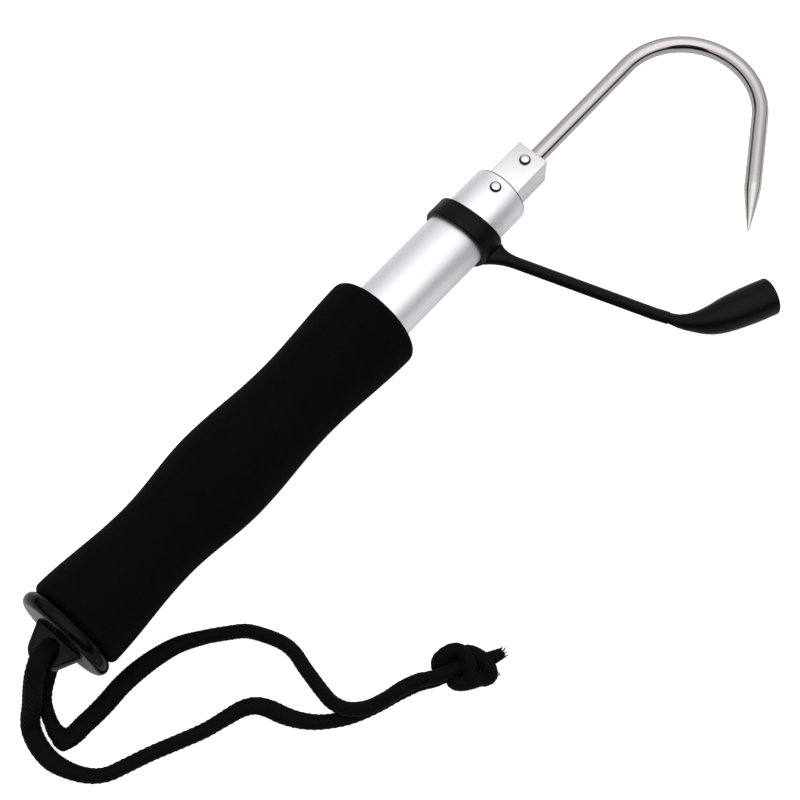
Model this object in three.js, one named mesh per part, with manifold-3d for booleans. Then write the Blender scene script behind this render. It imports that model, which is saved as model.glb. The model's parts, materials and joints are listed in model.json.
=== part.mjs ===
// A telescopic fishing gaff: three aluminium tubes, a foam grip, a steel hook held by a riveted head,
// a rubber guard for the point and a braided wrist lanyard, closed up as it lies on a table.
// Millimetres. +X runs along the handle towards the hook, the hook's gap faces -Y and +Z is up.
// Everything is built round the handle's axis, with X = 0 where the grip meets the butt cap, and
// the whole is moved at the end so that it stands on Z = 0 with its box centred on X = 0 and Y = 0.

import * as THREE from 'three';
import { mergeVertices } from 'three/addons/utils/BufferGeometryUtils.js';
import Module from 'manifold-3d';

const wasm = await Module();
wasm.setup();

// Facets of round pieces, and of small ones
const roundSides = 40;
const smallSides = 20;
const cornerSteps = 3;

// Gaps: between seated pieces, between a bush and the tube that runs in it, and past a cut
const seatGap = 0.3;
const runningGap = 0.15;
const overrun = 2;

// Outer tube
const tubeDiameter = 22;
const tubeWall = 1.2;
const tubeLength = 187;
const tubeEdgeBevel = 0.3;

// Middle and inner tubes, each a ring's gap inside the one before, which bush and tail plug fill
const middleWall = 1.1;
const innerWall = 1.0;
const stageGap = 1.0;

// Guide bush in the mouth of a tube
const bushLength = 12;
const bushInset = 0.6;

// Tail plug of a sliding tube: a head that runs in the tube around it, a groove for its spring
// and a spigot inside its own tube
const plugHeadLength = 9;
const plugSpigotLength = 12;
const plugBoreDiameter = 6;
const tailClearance = 0.7;

// Friction spring: a split ring in the groove
const springWidth = 3;
const springThickness = 1.0;
const springSplit = THREE.MathUtils.degToRad(40);

// Foam grip: rear end, waist, crest, waist and front end, at stations that are shares of its length
const gripLength = 142.6;
const gripRearDiameter = 34.2;
const gripRearWaistDiameter = 29.6;
const gripCrestDiameter = 34.3;
const gripFrontWaistDiameter = 30.7;
const gripFrontDiameter = 34.9;
const gripStationShares = [0, 0.26, 0.475, 0.715, 1];
const gripStepsPerStation = 5;
const gripRearCorner = 2.2;
const gripFrontCorner = 3;

// Butt cap: rounded flange a lip wider than the grip, hollow plug in the outer tube and flat lug for
// the lanyard
const flangeLip = 0.35;
const flangeThickness = 5.3;
const capPlugLength = 15.6;
const capPlugWall = 2;
const capPlugFloor = 2;
const lugThickness = 4.5;
const lugRootWidth = 18.4;
const lugEndRadius = 5.9;
const eyeDistance = 4.2;
const eyeRadius = 3;

// Head collar on the inner tube, a little slimmer than the outer tube, and its rivet, which stands a
// little off the block's
const collarStepDown = 0.25;
const collarLength = 19.3;
const collarEdgeBevel = 0.4;
const collarRivetSetback = 4.9;
const collarRivetTurn = THREE.MathUtils.degToRad(7);

// Hook block: square bar with a turned spigot inside the inner tube
const blockWidth = 12.6;
const blockLength = 16.2;
const blockBevel = 0.45;
const spigotLength = 12;
const blockRivetSetback = 4.2;
const hookBoreDepth = 13;

// Rivets
const rivetShankDiameter = 2.4;
const rivetHeadDiameter = 4;
const rivetHeadHeight = 1.1;
const rivetHeadRim = 0.25;

// Hook: straight shank, round bend, straight limb and ground point
const wireDiameter = 5.9;
const hookShankLength = 52.6;
const hookBendRadius = 26.15;
const hookBendAngle = THREE.MathUtils.degToRad(148);
const hookLimbLength = 28.4;
const hookPointLength = 18.2;
const hookPointRadiusShares = [[0, 1], [0.26, 0.9], [0.52, 0.78], [0.78, 0.47], [0.97, 0.12], [1, 0]];
const hookSides = 16;
const hookSteps = 52;

// Guard: collar, strap and cup of rubber. The collar is drawn forward on the strap's side by a share
// of the distance from the axis, and the strap leaves it a lead ahead of its middle.
const guardClearance = 0.3;
const guardWall = 1.5;
const guardWidth = 8.3;
const guardCorner = 0.6;
const guardOverlap = 2.3;
const guardSkewShare = 0.115;
const strapRootLead = 1.05;
const strapSink = 3;
const strapWidth = 4;
const strapThickness = 3.5;
const strapLength = 62.37;
const strapLean = THREE.MathUtils.degToRad(22.4);
const strapRootDrop = 3.4;
const strapSides = 10;
const webLength = 6;
const webWidth = 8;
const webCurveShare = 0.25;
const webEndShare = 0.9;
const cupRadius = 6.6;
const cupLipRound = 0.8;
const cupStraightLength = 18.5;
const cupNeckRadius = 25;
const cupNeckTurn = THREE.MathUtils.degToRad(43.7);
const cupSocketDepth = 16;
const cupSocketMouthRadius = 4.7;
const cupSocketEndRadius = 3.1;
// Share of the cup's whole length against share of its mouth radius
const cupOutlineShares = [[0.1, 0.36], [0.22, 0.5], [0.36, 0.72], [0.5, 0.88], [0.64, 0.96], [0.8, 1]];

// Lanyard: a braided cord, looped through the lug and tied with one overhand knot
const cordDiameter = 4.6;
const cordSides = 10;
const knotLength = 20;
const knotWidth = 15;
const knotHeight = 10.6;
const knotTurn = THREE.MathUtils.degToRad(-44.5);
const knotNeckLength = 2.6;
const knotSideShift = 4;
const knotSides = 16;
const knotTailTipShare = 0.8;
// The wraps lie to one side of the neck. Three wraps and two cut tails, in shares of the knot's length, width and height
const knotWraps = [
  { lengthShare: 0.7, widthShare: 0.86, heightShare: 1, turnDegrees: 70, placeShare: -0.14 },
  { lengthShare: 0.72, widthShare: 0.8, heightShare: 0.96, turnDegrees: -62, placeShare: 0.14 },
  { lengthShare: 1, widthShare: 0.66, heightShare: 0.9, turnDegrees: 8, placeShare: 0 },
];
const knotTails = [
  { lengthShare: 0.65, sideShare: 0.24, turnDegrees: 38 },
  { lengthShare: 0.4, sideShare: -0.1, turnDegrees: -12 },
];

// Sizes worked out from the values above
const tubeRadius = tubeDiameter / 2;
const tubeBore = tubeRadius - tubeWall;
const middleRadius = tubeBore - stageGap;
const middleBore = middleRadius - middleWall;
const innerRadius = middleBore - stageGap;
const innerBore = innerRadius - innerWall;
const collarRadius = tubeRadius - collarStepDown;
const tubeStart = seatGap;
const tubeMouth = tubeStart + tubeLength;
const middleMouth = tubeMouth - seatGap;
const collarStart = tubeMouth + seatGap;
const collarEnd = collarStart + collarLength;
const blockStart = collarEnd + seatGap;
const blockEnd = blockStart + blockLength;
const collarRivetX = collarEnd - collarRivetSetback;
const blockRivetX = blockEnd - blockRivetSetback;
const wireRadius = wireDiameter / 2;
const rivetHole = rivetShankDiameter / 2 + runningGap;
const cordRadius = cordDiameter / 2;
const gripRadii = [
  gripRearDiameter, gripRearWaistDiameter, gripCrestDiameter, gripFrontWaistDiameter, gripFrontDiameter,
].map((diameter) => diameter / 2);
const flangeRadius = gripRadii[0] + flangeLip;
const restRadius = Math.max(flangeRadius, ...gripRadii);
const floorLevel = -restRadius * Math.cos(Math.PI / roundSides);

// Materials
const material = (color, roughness, metalness = 0) =>
  new THREE.MeshStandardMaterial({ color, roughness, metalness });
const silver = material(0xd2d3d6, 0.35, 1);
const steel = material(0xb4afae, 0.2, 1);
const foam = material(0x0c0c0d, 0.95);
const glossBlack = material(0x0e0e10, 0.25);
const rubber = material(0x151517, 0.5);
const nylon = material(0xdadad2, 0.5);
const braid = material(0x0b0b0d, 0.9);

// A solid of revolution about X from a profile of [x, radius] pairs, its outside running towards +X.
// A facet faces straight down, so that the piece can lie flat.
function turned(profile, sides = roundSides) {
  const points = profile.map(([x, radius]) => new THREE.Vector2(radius, x));
  return new THREE.LatheGeometry(points, sides, Math.PI / sides).rotateZ(-Math.PI / 2);
}

// Points of a round corner, from one angle to another about a centre, in the profile's plane
function corner([x, radius], size, fromDegrees, toDegrees, steps = cornerSteps) {
  return Array.from({ length: steps + 1 }, (_, i) => {
    const angle = THREE.MathUtils.degToRad(fromDegrees + (toDegrees - fromDegrees) * i / steps);
    return [x + size * Math.cos(angle), radius + size * Math.sin(angle)];
  });
}

// A closed profile of a sleeve with its outer edges bevelled
function sleeve(start, end, outer, bore, bevel, sides = roundSides) {
  return turned([
    [start, bore], [start, outer - bevel], [start + bevel, outer],
    [end - bevel, outer], [end, outer - bevel], [end, bore], [start, bore],
  ], sides);
}

function toSolid(geometry) {
  const bare = geometry.clone();
  bare.deleteAttribute('normal');
  bare.deleteAttribute('uv');
  const merged = mergeVertices(bare);
  const triVerts = new Uint32Array(merged.index.array);
  const vertProperties = new Float32Array(merged.attributes.position.array);
  return new wasm.Manifold(new wasm.Mesh({ numProp: 3, vertProperties, triVerts }));
}

function toGeometry(solid) {
  const mesh = solid.getMesh();
  const geometry = new THREE.BufferGeometry();
  geometry.setAttribute('position', new THREE.BufferAttribute(mesh.vertProperties, mesh.numProp));
  geometry.setIndex(new THREE.BufferAttribute(mesh.triVerts, 1));
  geometry.computeVertexNormals();
  return geometry;
}

// An upright cylinder for a rivet's hole, turned about the handle's axis
function crossHole(x, radius, reach, turn = 0) {
  return new THREE.CylinderGeometry(radius, radius, 2 * reach, smallSides)
    .rotateX(Math.PI / 2 + turn).translate(x, 0, 0);
}

function polygon(radius, sides, widthShare = 1) {
  return new THREE.Shape(Array.from({ length: sides }, (_, i) => {
    const angle = 2 * Math.PI * (i + 0.5) / sides;
    return new THREE.Vector2(radius * Math.cos(angle), radius * widthShare * Math.sin(angle));
  }));
}

const gaff = new THREE.Group();
const body = new THREE.Group();
gaff.add(body);
const cordPieces = new THREE.Group();
body.add(cordPieces);

function addPiece(name, geometry, look, parent = body) {
  const mesh = new THREE.Mesh(geometry, look);
  mesh.name = name;
  parent.add(mesh);
  return mesh;
}

// Outer tube and foam grip
addPiece('outer_tube', sleeve(tubeStart, tubeMouth, tubeRadius, tubeBore, tubeEdgeBevel), silver);

function gripProfile() {
  const bore = tubeRadius + runningGap;
  const start = seatGap;
  const end = start + gripLength;
  const outline = [];
  for (let station = 0; station < gripRadii.length - 1; station += 1) {
    const [from, to] = gripStationShares.slice(station, station + 2);
    for (let step = 0; step < gripStepsPerStation; step += 1) {
      const share = step / gripStepsPerStation;
      const ease = (1 - Math.cos(Math.PI * share)) / 2;
      const x = start + gripLength * (from + (to - from) * share);
      outline.push([x, gripRadii[station] + (gripRadii[station + 1] - gripRadii[station]) * ease]);
    }
  }
  const between = outline.filter(([x]) => x > start + gripRearCorner && x < end - gripFrontCorner);
  return [
    [start, bore],
    ...corner([start + gripRearCorner, gripRadii[0] - gripRearCorner], gripRearCorner, 180, 90),
    ...between,
    ...corner([end - gripFrontCorner, gripRadii.at(-1) - gripFrontCorner], gripFrontCorner, 90, 0),
    [end, bore],
    [start, bore],
  ];
}
addPiece('foam_grip', turned(gripProfile()), foam);

// Butt cap
function buttCap() {
  const rim = flangeThickness / 2;
  const plugRadius = tubeBore - runningGap;
  const cap = turned([
    [-flangeThickness, 0],
    ...corner([-rim, flangeRadius - rim], rim, 180, 0, 2 * cornerSteps),
    [0, plugRadius],
    [capPlugLength - tubeEdgeBevel, plugRadius],
    [capPlugLength, plugRadius - tubeEdgeBevel],
    [capPlugLength, plugRadius - capPlugWall],
    [capPlugFloor, plugRadius - capPlugWall],
    [capPlugFloor, 0],
  ]);
  const eyeX = -flangeThickness - eyeDistance;
  const root = -flangeThickness + rim;
  const rootHalf = lugRootWidth / 2;
  // The lug's straight edges touch its round end where that is turned this far from +X
  const edgeTurn = Math.atan2(rootHalf, eyeDistance)
    + Math.acos(lugEndRadius / Math.hypot(eyeDistance, rootHalf));
  const lug = new THREE.Shape();
  lug.moveTo(root, -rootHalf);
  lug.lineTo(-flangeThickness, -rootHalf);
  lug.absarc(eyeX, 0, lugEndRadius, -edgeTurn, edgeTurn, true);
  lug.lineTo(-flangeThickness, rootHalf);
  lug.lineTo(root, rootHalf);
  const eye = new THREE.Path();
  eye.absarc(eyeX, 0, eyeRadius, 0, 2 * Math.PI);
  lug.holes.push(eye);
  const plate = new THREE.ExtrudeGeometry(lug, {
    depth: lugThickness, bevelEnabled: false, curveSegments: smallSides / 2,
  }).translate(0, 0, -lugThickness / 2);
  return toGeometry(toSolid(cap).add(toSolid(plate)));
}
addPiece('end_cap', buttCap(), glossBlack);

// The tubes inside, each stage with its tail plug, spring and guide bush
function tailPlug(start, headRadius, spigotRadius) {
  const boreRadius = plugBoreDiameter / 2;
  const grooveRadius = headRadius - springThickness - 2 * runningGap;
  const grooveHalf = springWidth / 2 + runningGap;
  const middle = start + plugHeadLength / 2;
  const headEnd = start + plugHeadLength;
  const end = headEnd + plugSpigotLength;
  return turned([
    [start, boreRadius], [start, headRadius - tubeEdgeBevel], [start + tubeEdgeBevel, headRadius],
    [middle - grooveHalf, headRadius], [middle - grooveHalf, grooveRadius],
    [middle + grooveHalf, grooveRadius], [middle + grooveHalf, headRadius],
    [headEnd, headRadius], [headEnd, spigotRadius], [end - tubeEdgeBevel, spigotRadius],
    [end, spigotRadius - tubeEdgeBevel], [end, boreRadius], [start, boreRadius],
  ]);
}

function frictionSpring(middle, headRadius) {
  const outside = headRadius - runningGap;
  const inside = outside - springThickness;
  const half = springSplit / 2;
  const ring = new THREE.Shape();
  ring.absarc(0, 0, outside, half, 2 * Math.PI - half);
  ring.absarc(0, 0, inside, 2 * Math.PI - half, half, true);
  return new THREE.ExtrudeGeometry(ring, {
    depth: springWidth, bevelEnabled: false, curveSegments: roundSides / 2,
  }).rotateY(Math.PI / 2).translate(middle - springWidth / 2, 0, 0);
}

const middleTail = capPlugLength + tailClearance;
const stages = [{
  name: 'middle', around: tubeBore, radius: middleRadius, bore: middleBore,
  tail: middleTail, mouth: middleMouth, finish: (tube) => tube,
}, {
  name: 'inner', around: middleBore, radius: innerRadius, bore: innerBore,
  tail: middleTail + plugHeadLength + plugSpigotLength + tailClearance,
  mouth: collarEnd - seatGap, finish: drilled,
}];

for (const { name, around, radius, bore, tail, mouth, finish } of stages) {
  const headRadius = around - runningGap;
  addPiece(`${name}_tail_plug`, tailPlug(tail, headRadius, bore - runningGap), nylon);
  addPiece(`${name}_friction_spring`, frictionSpring(tail + plugHeadLength / 2, headRadius), steel);
  const tube = sleeve(tail + plugHeadLength + seatGap, mouth, radius, bore, tubeEdgeBevel);
  addPiece(`${name}_tube`, finish(tube), silver);
}

function guideBush(mouth, around, inside) {
  const end = mouth - bushInset;
  return sleeve(end - bushLength, end, around - runningGap, inside + runningGap, 0);
}
addPiece('outer_guide_bush', guideBush(tubeMouth, tubeBore, middleRadius), nylon);
addPiece('middle_guide_bush', guideBush(middleMouth, middleBore, innerRadius), nylon);

// Head: collar, block and the rivets that hold tube, spigot and hook
function drilled(geometry) {
  const hole = crossHole(collarRivetX, rivetHole, collarRadius + overrun, collarRivetTurn);
  return toGeometry(toSolid(geometry).subtract(toSolid(hole)));
}

addPiece('head_cap', drilled(sleeve(
  collarStart, collarEnd, collarRadius, innerRadius + runningGap, collarEdgeBevel,
)), silver);

function hookBlock() {
  const half = blockWidth / 2 - blockBevel;
  const square = new THREE.Shape([[-half, -half], [half, -half], [half, half], [-half, half]]
    .map(([x, y]) => new THREE.Vector2(x, y)));
  const bar = new THREE.ExtrudeGeometry(square, {
    depth: blockLength - 2 * blockBevel, bevelEnabled: true, bevelSegments: 1,
    bevelSize: blockBevel, bevelThickness: blockBevel,
  }).rotateY(Math.PI / 2).translate(blockStart + blockBevel, 0, 0);
  const spigotRadius = innerBore - runningGap;
  const spigotStart = blockStart - spigotLength;
  const spigot = turned([
    [spigotStart, 0], [spigotStart, spigotRadius - blockBevel], [spigotStart + blockBevel, spigotRadius],
    [blockStart + blockBevel, spigotRadius], [blockStart + blockBevel, 0],
  ]);
  const bore = turned([
    [blockEnd - hookBoreDepth, 0], [blockEnd - hookBoreDepth, wireRadius + runningGap],
    [blockEnd + overrun, wireRadius + runningGap], [blockEnd + overrun, 0],
  ]);
  const hole = crossHole(blockRivetX, rivetHole, blockWidth / 2 + overrun);
  const solid = toSolid(bar).add(toSolid(spigot)).subtract(toSolid(bore)).subtract(toSolid(hole));
  return drilled(toGeometry(solid));
}
addPiece('hook_block', hookBlock(), silver);

// A rivet with a domed head at each end, upright at the origin
function rivet(seatHeight) {
  const base = seatHeight + runningGap;
  const rim = base + rivetHeadRim;
  const dome = rivetHeadHeight - rivetHeadRim;
  const upper = Array.from({ length: cornerSteps + 1 }, (_, i) => {
    const angle = Math.PI / 2 * i / cornerSteps;
    return [rim + dome * Math.sin(angle), rivetHeadDiameter / 2 * Math.cos(angle)];
  });
  upper[cornerSteps][1] = 0;
  const half = [[base, rivetShankDiameter / 2], [base, rivetHeadDiameter / 2], ...upper];
  const lower = half.map(([x, radius]) => [-x, radius]).reverse();
  return turned([...lower, ...half], smallSides).rotateY(-Math.PI / 2);
}
const collarRivet = addPiece('cap_rivet', rivet(collarRadius), steel);
collarRivet.position.x = collarRivetX;
collarRivet.rotation.x = collarRivetTurn;
const blockRivet = addPiece('block_rivet', rivet(blockWidth / 2), steel);
blockRivet.position.x = blockRivetX;

// Hook: the wire follows a path in the XY plane, and the point is turned and joined on
function hook() {
  const shankStart = blockEnd - hookBoreDepth + seatGap;
  const bendStart = blockEnd + hookShankLength;
  const path = new THREE.Path();
  path.moveTo(shankStart, 0);
  path.lineTo(bendStart, 0);
  path.absarc(bendStart, -hookBendRadius, hookBendRadius, Math.PI / 2, Math.PI / 2 - hookBendAngle, true);
  const bendEnd = path.currentPoint.clone();
  const limb = new THREE.Vector2(Math.cos(hookBendAngle), -Math.sin(hookBendAngle));
  const limbEnd = bendEnd.addScaledVector(limb, hookLimbLength);
  path.lineTo(limbEnd.x, limbEnd.y);
  const line = path.getSpacedPoints(hookSteps).map(({ x, y }) => new THREE.Vector3(x, y, 0));
  const wire = new THREE.ExtrudeGeometry(polygon(wireRadius, hookSides), {
    steps: hookSteps, extrudePath: new THREE.CatmullRomCurve3(line), bevelEnabled: false,
  });
  const point = turned(
    [[-seatGap, 0], [-seatGap, wireRadius],
      ...hookPointRadiusShares.map(([x, radius]) => [x * hookPointLength, radius * wireRadius])],
    hookSides,
  ).rotateZ(-hookBendAngle).translate(limbEnd.x, limbEnd.y, 0);
  const hole = crossHole(blockRivetX, rivetHole, wireRadius + overrun);
  return toGeometry(toSolid(wire).add(toSolid(point)).subtract(toSolid(hole)));
}
addPiece('hook', hook(), steel);

// Guard: a collar on the outer tube, a strap with a webbed root and a cup for the point
const guardBore = tubeRadius + guardClearance;
const guardRadius = guardBore + guardWall;
const guardEnd = tubeMouth + guardOverlap;
const guardMiddle = guardEnd - guardWidth / 2;
const guardSkew = new THREE.Matrix4().makeShear(0, 0, -guardSkewShare, 0, 0, 0);

addPiece('guard_ring', turned([
  [guardEnd - guardWidth, guardBore],
  ...corner([guardEnd - guardWidth + guardCorner, guardRadius - guardCorner], guardCorner, 180, 90),
  ...corner([guardEnd - guardCorner, guardRadius - guardCorner], guardCorner, 90, 0),
  [guardEnd, guardBore], [guardEnd - guardWidth, guardBore],
]).applyMatrix4(guardSkew), rubber);

// The strap's length runs to the cup's neck, whose round end turns clear of the strap's cut end
const strapPitch = Math.asin((-floorLevel - strapRootDrop - cupRadius) / strapLength);
const neckEndRadius = strapThickness / 2;
const strapRoot = new THREE.Vector3(0, -guardRadius, 0).applyMatrix4(guardSkew)
  .add(new THREE.Vector3(guardMiddle + strapRootLead, 0, -strapRootDrop));
const strapTurn = new THREE.Euler(0, strapPitch, strapLean - Math.PI / 2, 'ZYX');
const strapPlace = new THREE.Matrix4().compose(
  strapRoot, new THREE.Quaternion().setFromEuler(strapTurn), new THREE.Vector3(1, 1, 1),
);

function guardStrap() {
  const bar = new THREE.ExtrudeGeometry(polygon(strapWidth / 2, strapSides, strapThickness / strapWidth), {
    depth: strapLength - neckEndRadius + strapSink, bevelEnabled: false,
  }).rotateZ(Math.PI / 2).rotateY(Math.PI / 2).rotateX(Math.PI / 2).translate(-strapSink, 0, 0);
  const web = new THREE.Shape();
  const waist = webLength * webCurveShare;
  const half = strapWidth / 2;
  const endHalf = half * webEndShare;
  const webThickness = strapThickness * webEndShare;
  web.moveTo(-strapSink, -webWidth / 2);
  web.lineTo(0, -webWidth / 2);
  web.quadraticCurveTo(waist, -half, webLength, -endHalf);
  web.lineTo(webLength, endHalf);
  web.quadraticCurveTo(waist, half, 0, webWidth / 2);
  web.lineTo(-strapSink, webWidth / 2);
  const root = new THREE.ExtrudeGeometry(web, {
    depth: webThickness, bevelEnabled: false, curveSegments: 2 * cornerSteps,
  }).translate(0, 0, -webThickness / 2);
  const seat = turned([
    [guardMiddle - guardWidth, 0], [guardMiddle - guardWidth, guardRadius + seatGap],
    [guardMiddle + guardWidth, guardRadius + seatGap], [guardMiddle + guardWidth, 0],
  ]);
  const joined = toSolid(bar).add(toSolid(root));
  const placed = toSolid(toGeometry(joined).applyMatrix4(strapPlace));
  return toGeometry(placed.subtract(toSolid(seat)));
}
addPiece('guard_strap', guardStrap(), rubber);

// The cup is turned straight along X, and its solid neck is then bent round a quarter circle's part
function guardCup() {
  const neckLength = cupNeckRadius * cupNeckTurn;
  const length = neckLength + cupStraightLength;
  const outline = cupOutlineShares.map(([x, radius]) => [x * length, radius * cupRadius]);
  const cup = turned([
    [-neckEndRadius, 0], ...corner([0, 0], neckEndRadius, 180, 90).slice(1), ...outline,
    ...corner([length - cupLipRound, cupRadius - cupLipRound], cupLipRound, 90, 0),
    [length, cupSocketMouthRadius], [length - cupSocketDepth, cupSocketEndRadius],
    [length - cupSocketDepth, 0],
  ], smallSides);
  const place = cup.attributes.position;
  for (let i = 0; i < place.count; i += 1) {
    const x = place.getX(i);
    const side = place.getY(i);
    const inNeck = THREE.MathUtils.clamp(x, 0, neckLength);
    const angle = inNeck / cupNeckRadius;
    const past = x - inNeck;
    const reach = cupNeckRadius - side;
    place.setX(i, reach * Math.sin(angle) + past * Math.cos(angle));
    place.setY(i, cupNeckRadius - reach * Math.cos(angle) + past * Math.sin(angle));
  }
  return cup;
}
const cup = addPiece('guard_cup', guardCup(), rubber);
cup.position.set(strapLength + seatGap, 0, 0).applyMatrix4(strapPlace);
cup.position.z = floorLevel + cupRadius;
cup.rotation.z = strapLean - Math.PI / 2;

// Lanyard strands, as [x, y, height above the table], from the lug's eye to the knot
const outerStrand = [
  [-9.5, 0.2, 17.9], [-9.7, 0, 20.4], [-12, -0.9, 23.2], [-15.6, -2.3, 24], [-19.1, -3.6, 21.2],
  [-22, -4.6, 15.8], [-24.7, -5.7, 9.9], [-27.6, -6.8, 4.9], [-30, -9.2, 2.7], [-32, -14.5, 2.4],
  [-32.6, -20.9, 2.4], [-30.8, -27.9, 2.4], [-27.9, -33.2, 2.4], [-24.2, -36.6, 2.4],
  [-19.2, -38.8, 2.4], [-10.9, -42.1, 2.4], [-1.9, -46.3, 2.4], [5.5, -49.6, 2.4], [12.3, -51.7, 2.4],
  [17.8, -53.4, 2.4], [21.6, -55.9, 2.4], [23.8, -59.7, 2.4], [25.4, -65, 2.4], [27.6, -69.9, 2.4],
  [31.2, -74.9, 2.4], [36.4, -79.4, 2.4], [41.5, -82.4, 2.4], [47.6, -85, 2.4], [54.1, -87.2, 2.4],
  [60, -89.7, 2.6], [62, -91.1, 2.8],
];
const innerStrand = [
  [-9.5, -0.2, 16.9], [-9.7, -0.3, 14.4], [-11.7, -1.4, 11.4], [-14.8, -2.9, 9], [-18.1, -4.3, 6.6],
  [-20.9, -6.2, 4.2], [-22.9, -9.2, 2.7], [-24.4, -12.5, 2.4], [-25.2, -15.2, 2.4], [-24.7, -18.4, 2.4],
  [-22.1, -19.8, 2.4], [-17.9, -19.9, 2.4], [-13.3, -20.2, 2.4], [-7.8, -20.2, 2.4], [-1.6, -19.9, 2.4],
  [5.1, -20.3, 2.4], [12.8, -21.7, 2.4], [20.3, -24.2, 2.4], [27.4, -28.7, 2.4], [33.5, -33.5, 2.4],
  [37.7, -37.4, 2.4], [40.4, -42.6, 2.4], [42.4, -48.6, 2.4], [42.5, -53.7, 2.4], [41, -59.3, 2.4],
  [39.9, -64.1, 2.4], [38.8, -69, 2.9], [37.9, -74.3, 4.9], [39.1, -79.7, 7.1], [43.4, -83.8, 7.2],
  [49.3, -86.3, 7.2], [55.4, -87.9, 7.2], [59.9, -89.9, 7.4], [61.8, -91.2, 7.5],
];

function strand(points) {
  const places = points.map(([x, y, height]) => new THREE.Vector3(x, y, floorLevel + height));
  const route = new THREE.CatmullRomCurve3(places);
  return new THREE.ExtrudeGeometry(polygon(cordRadius, cordSides), {
    steps: points.length - 1, extrudePath: route, bevelEnabled: false,
  });
}
addPiece('lanyard_strand_outer', strand(outerStrand), braid, cordPieces);
addPiece('lanyard_strand_inner', strand(innerStrand), braid, cordPieces);

// The knot is fat wraps round one another, with a neck towards the strands and two cut tails
const knotHalf = knotLength / 2;
const knotNeckReach = knotNeckLength + knotHalf;

function knot() {
  const neck = new THREE.CylinderGeometry(cordRadius, cordRadius, knotNeckReach, knotSides)
    .rotateZ(Math.PI / 2).translate(-knotNeckReach / 2, 0, 0)
    .scale(1, 1, (knotHeight - cordRadius) / cordDiameter);
  let solid = toSolid(neck);
  for (const { lengthShare, widthShare, heightShare, turnDegrees, placeShare } of knotWraps) {
    const wrap = new THREE.SphereGeometry(1, knotSides, knotSides / 2)
      .scale(knotHalf * lengthShare, knotWidth / 2 * widthShare, knotHeight / 2 * heightShare)
      .rotateZ(THREE.MathUtils.degToRad(turnDegrees)).translate(knotLength * placeShare, knotSideShift, 0);
    solid = solid.add(toSolid(wrap));
  }
  for (const { lengthShare, sideShare, turnDegrees } of knotTails) {
    const reach = knotLength * lengthShare;
    const tail = new THREE.CylinderGeometry(cordRadius * knotTailTipShare, cordRadius, reach, cordSides)
      .rotateZ(-Math.PI / 2).translate(reach / 2, 0, 0)
      .rotateZ(THREE.MathUtils.degToRad(turnDegrees))
      .translate(knotHalf / 2, knotWidth * sideShare + knotSideShift, 0);
    solid = solid.add(toSolid(tail));
  }
  return toGeometry(solid);
}
const knotMesh = addPiece('lanyard_knot', knot(), braid, cordPieces);
const knotAway = knotNeckReach + seatGap;
const strandsEnd = outerStrand.at(-1);
knotMesh.position.set(
  strandsEnd[0] + knotAway * Math.cos(knotTurn),
  strandsEnd[1] + knotAway * Math.sin(knotTurn),
  floorLevel + knotHeight / 2,
);
knotMesh.rotation.z = knotTurn;

// Stand the gaff on Z = 0 and centre it, measured without the lanyard
body.remove(cordPieces);
const box = new THREE.Box3().setFromObject(body, true);
body.add(cordPieces);
const middle = box.getCenter(new THREE.Vector3());
body.position.set(-middle.x, -middle.y, -box.min.z);

export default gaff;
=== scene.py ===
import json
import math
import random
from math import cos, hypot, pi, radians, sin, tau

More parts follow.
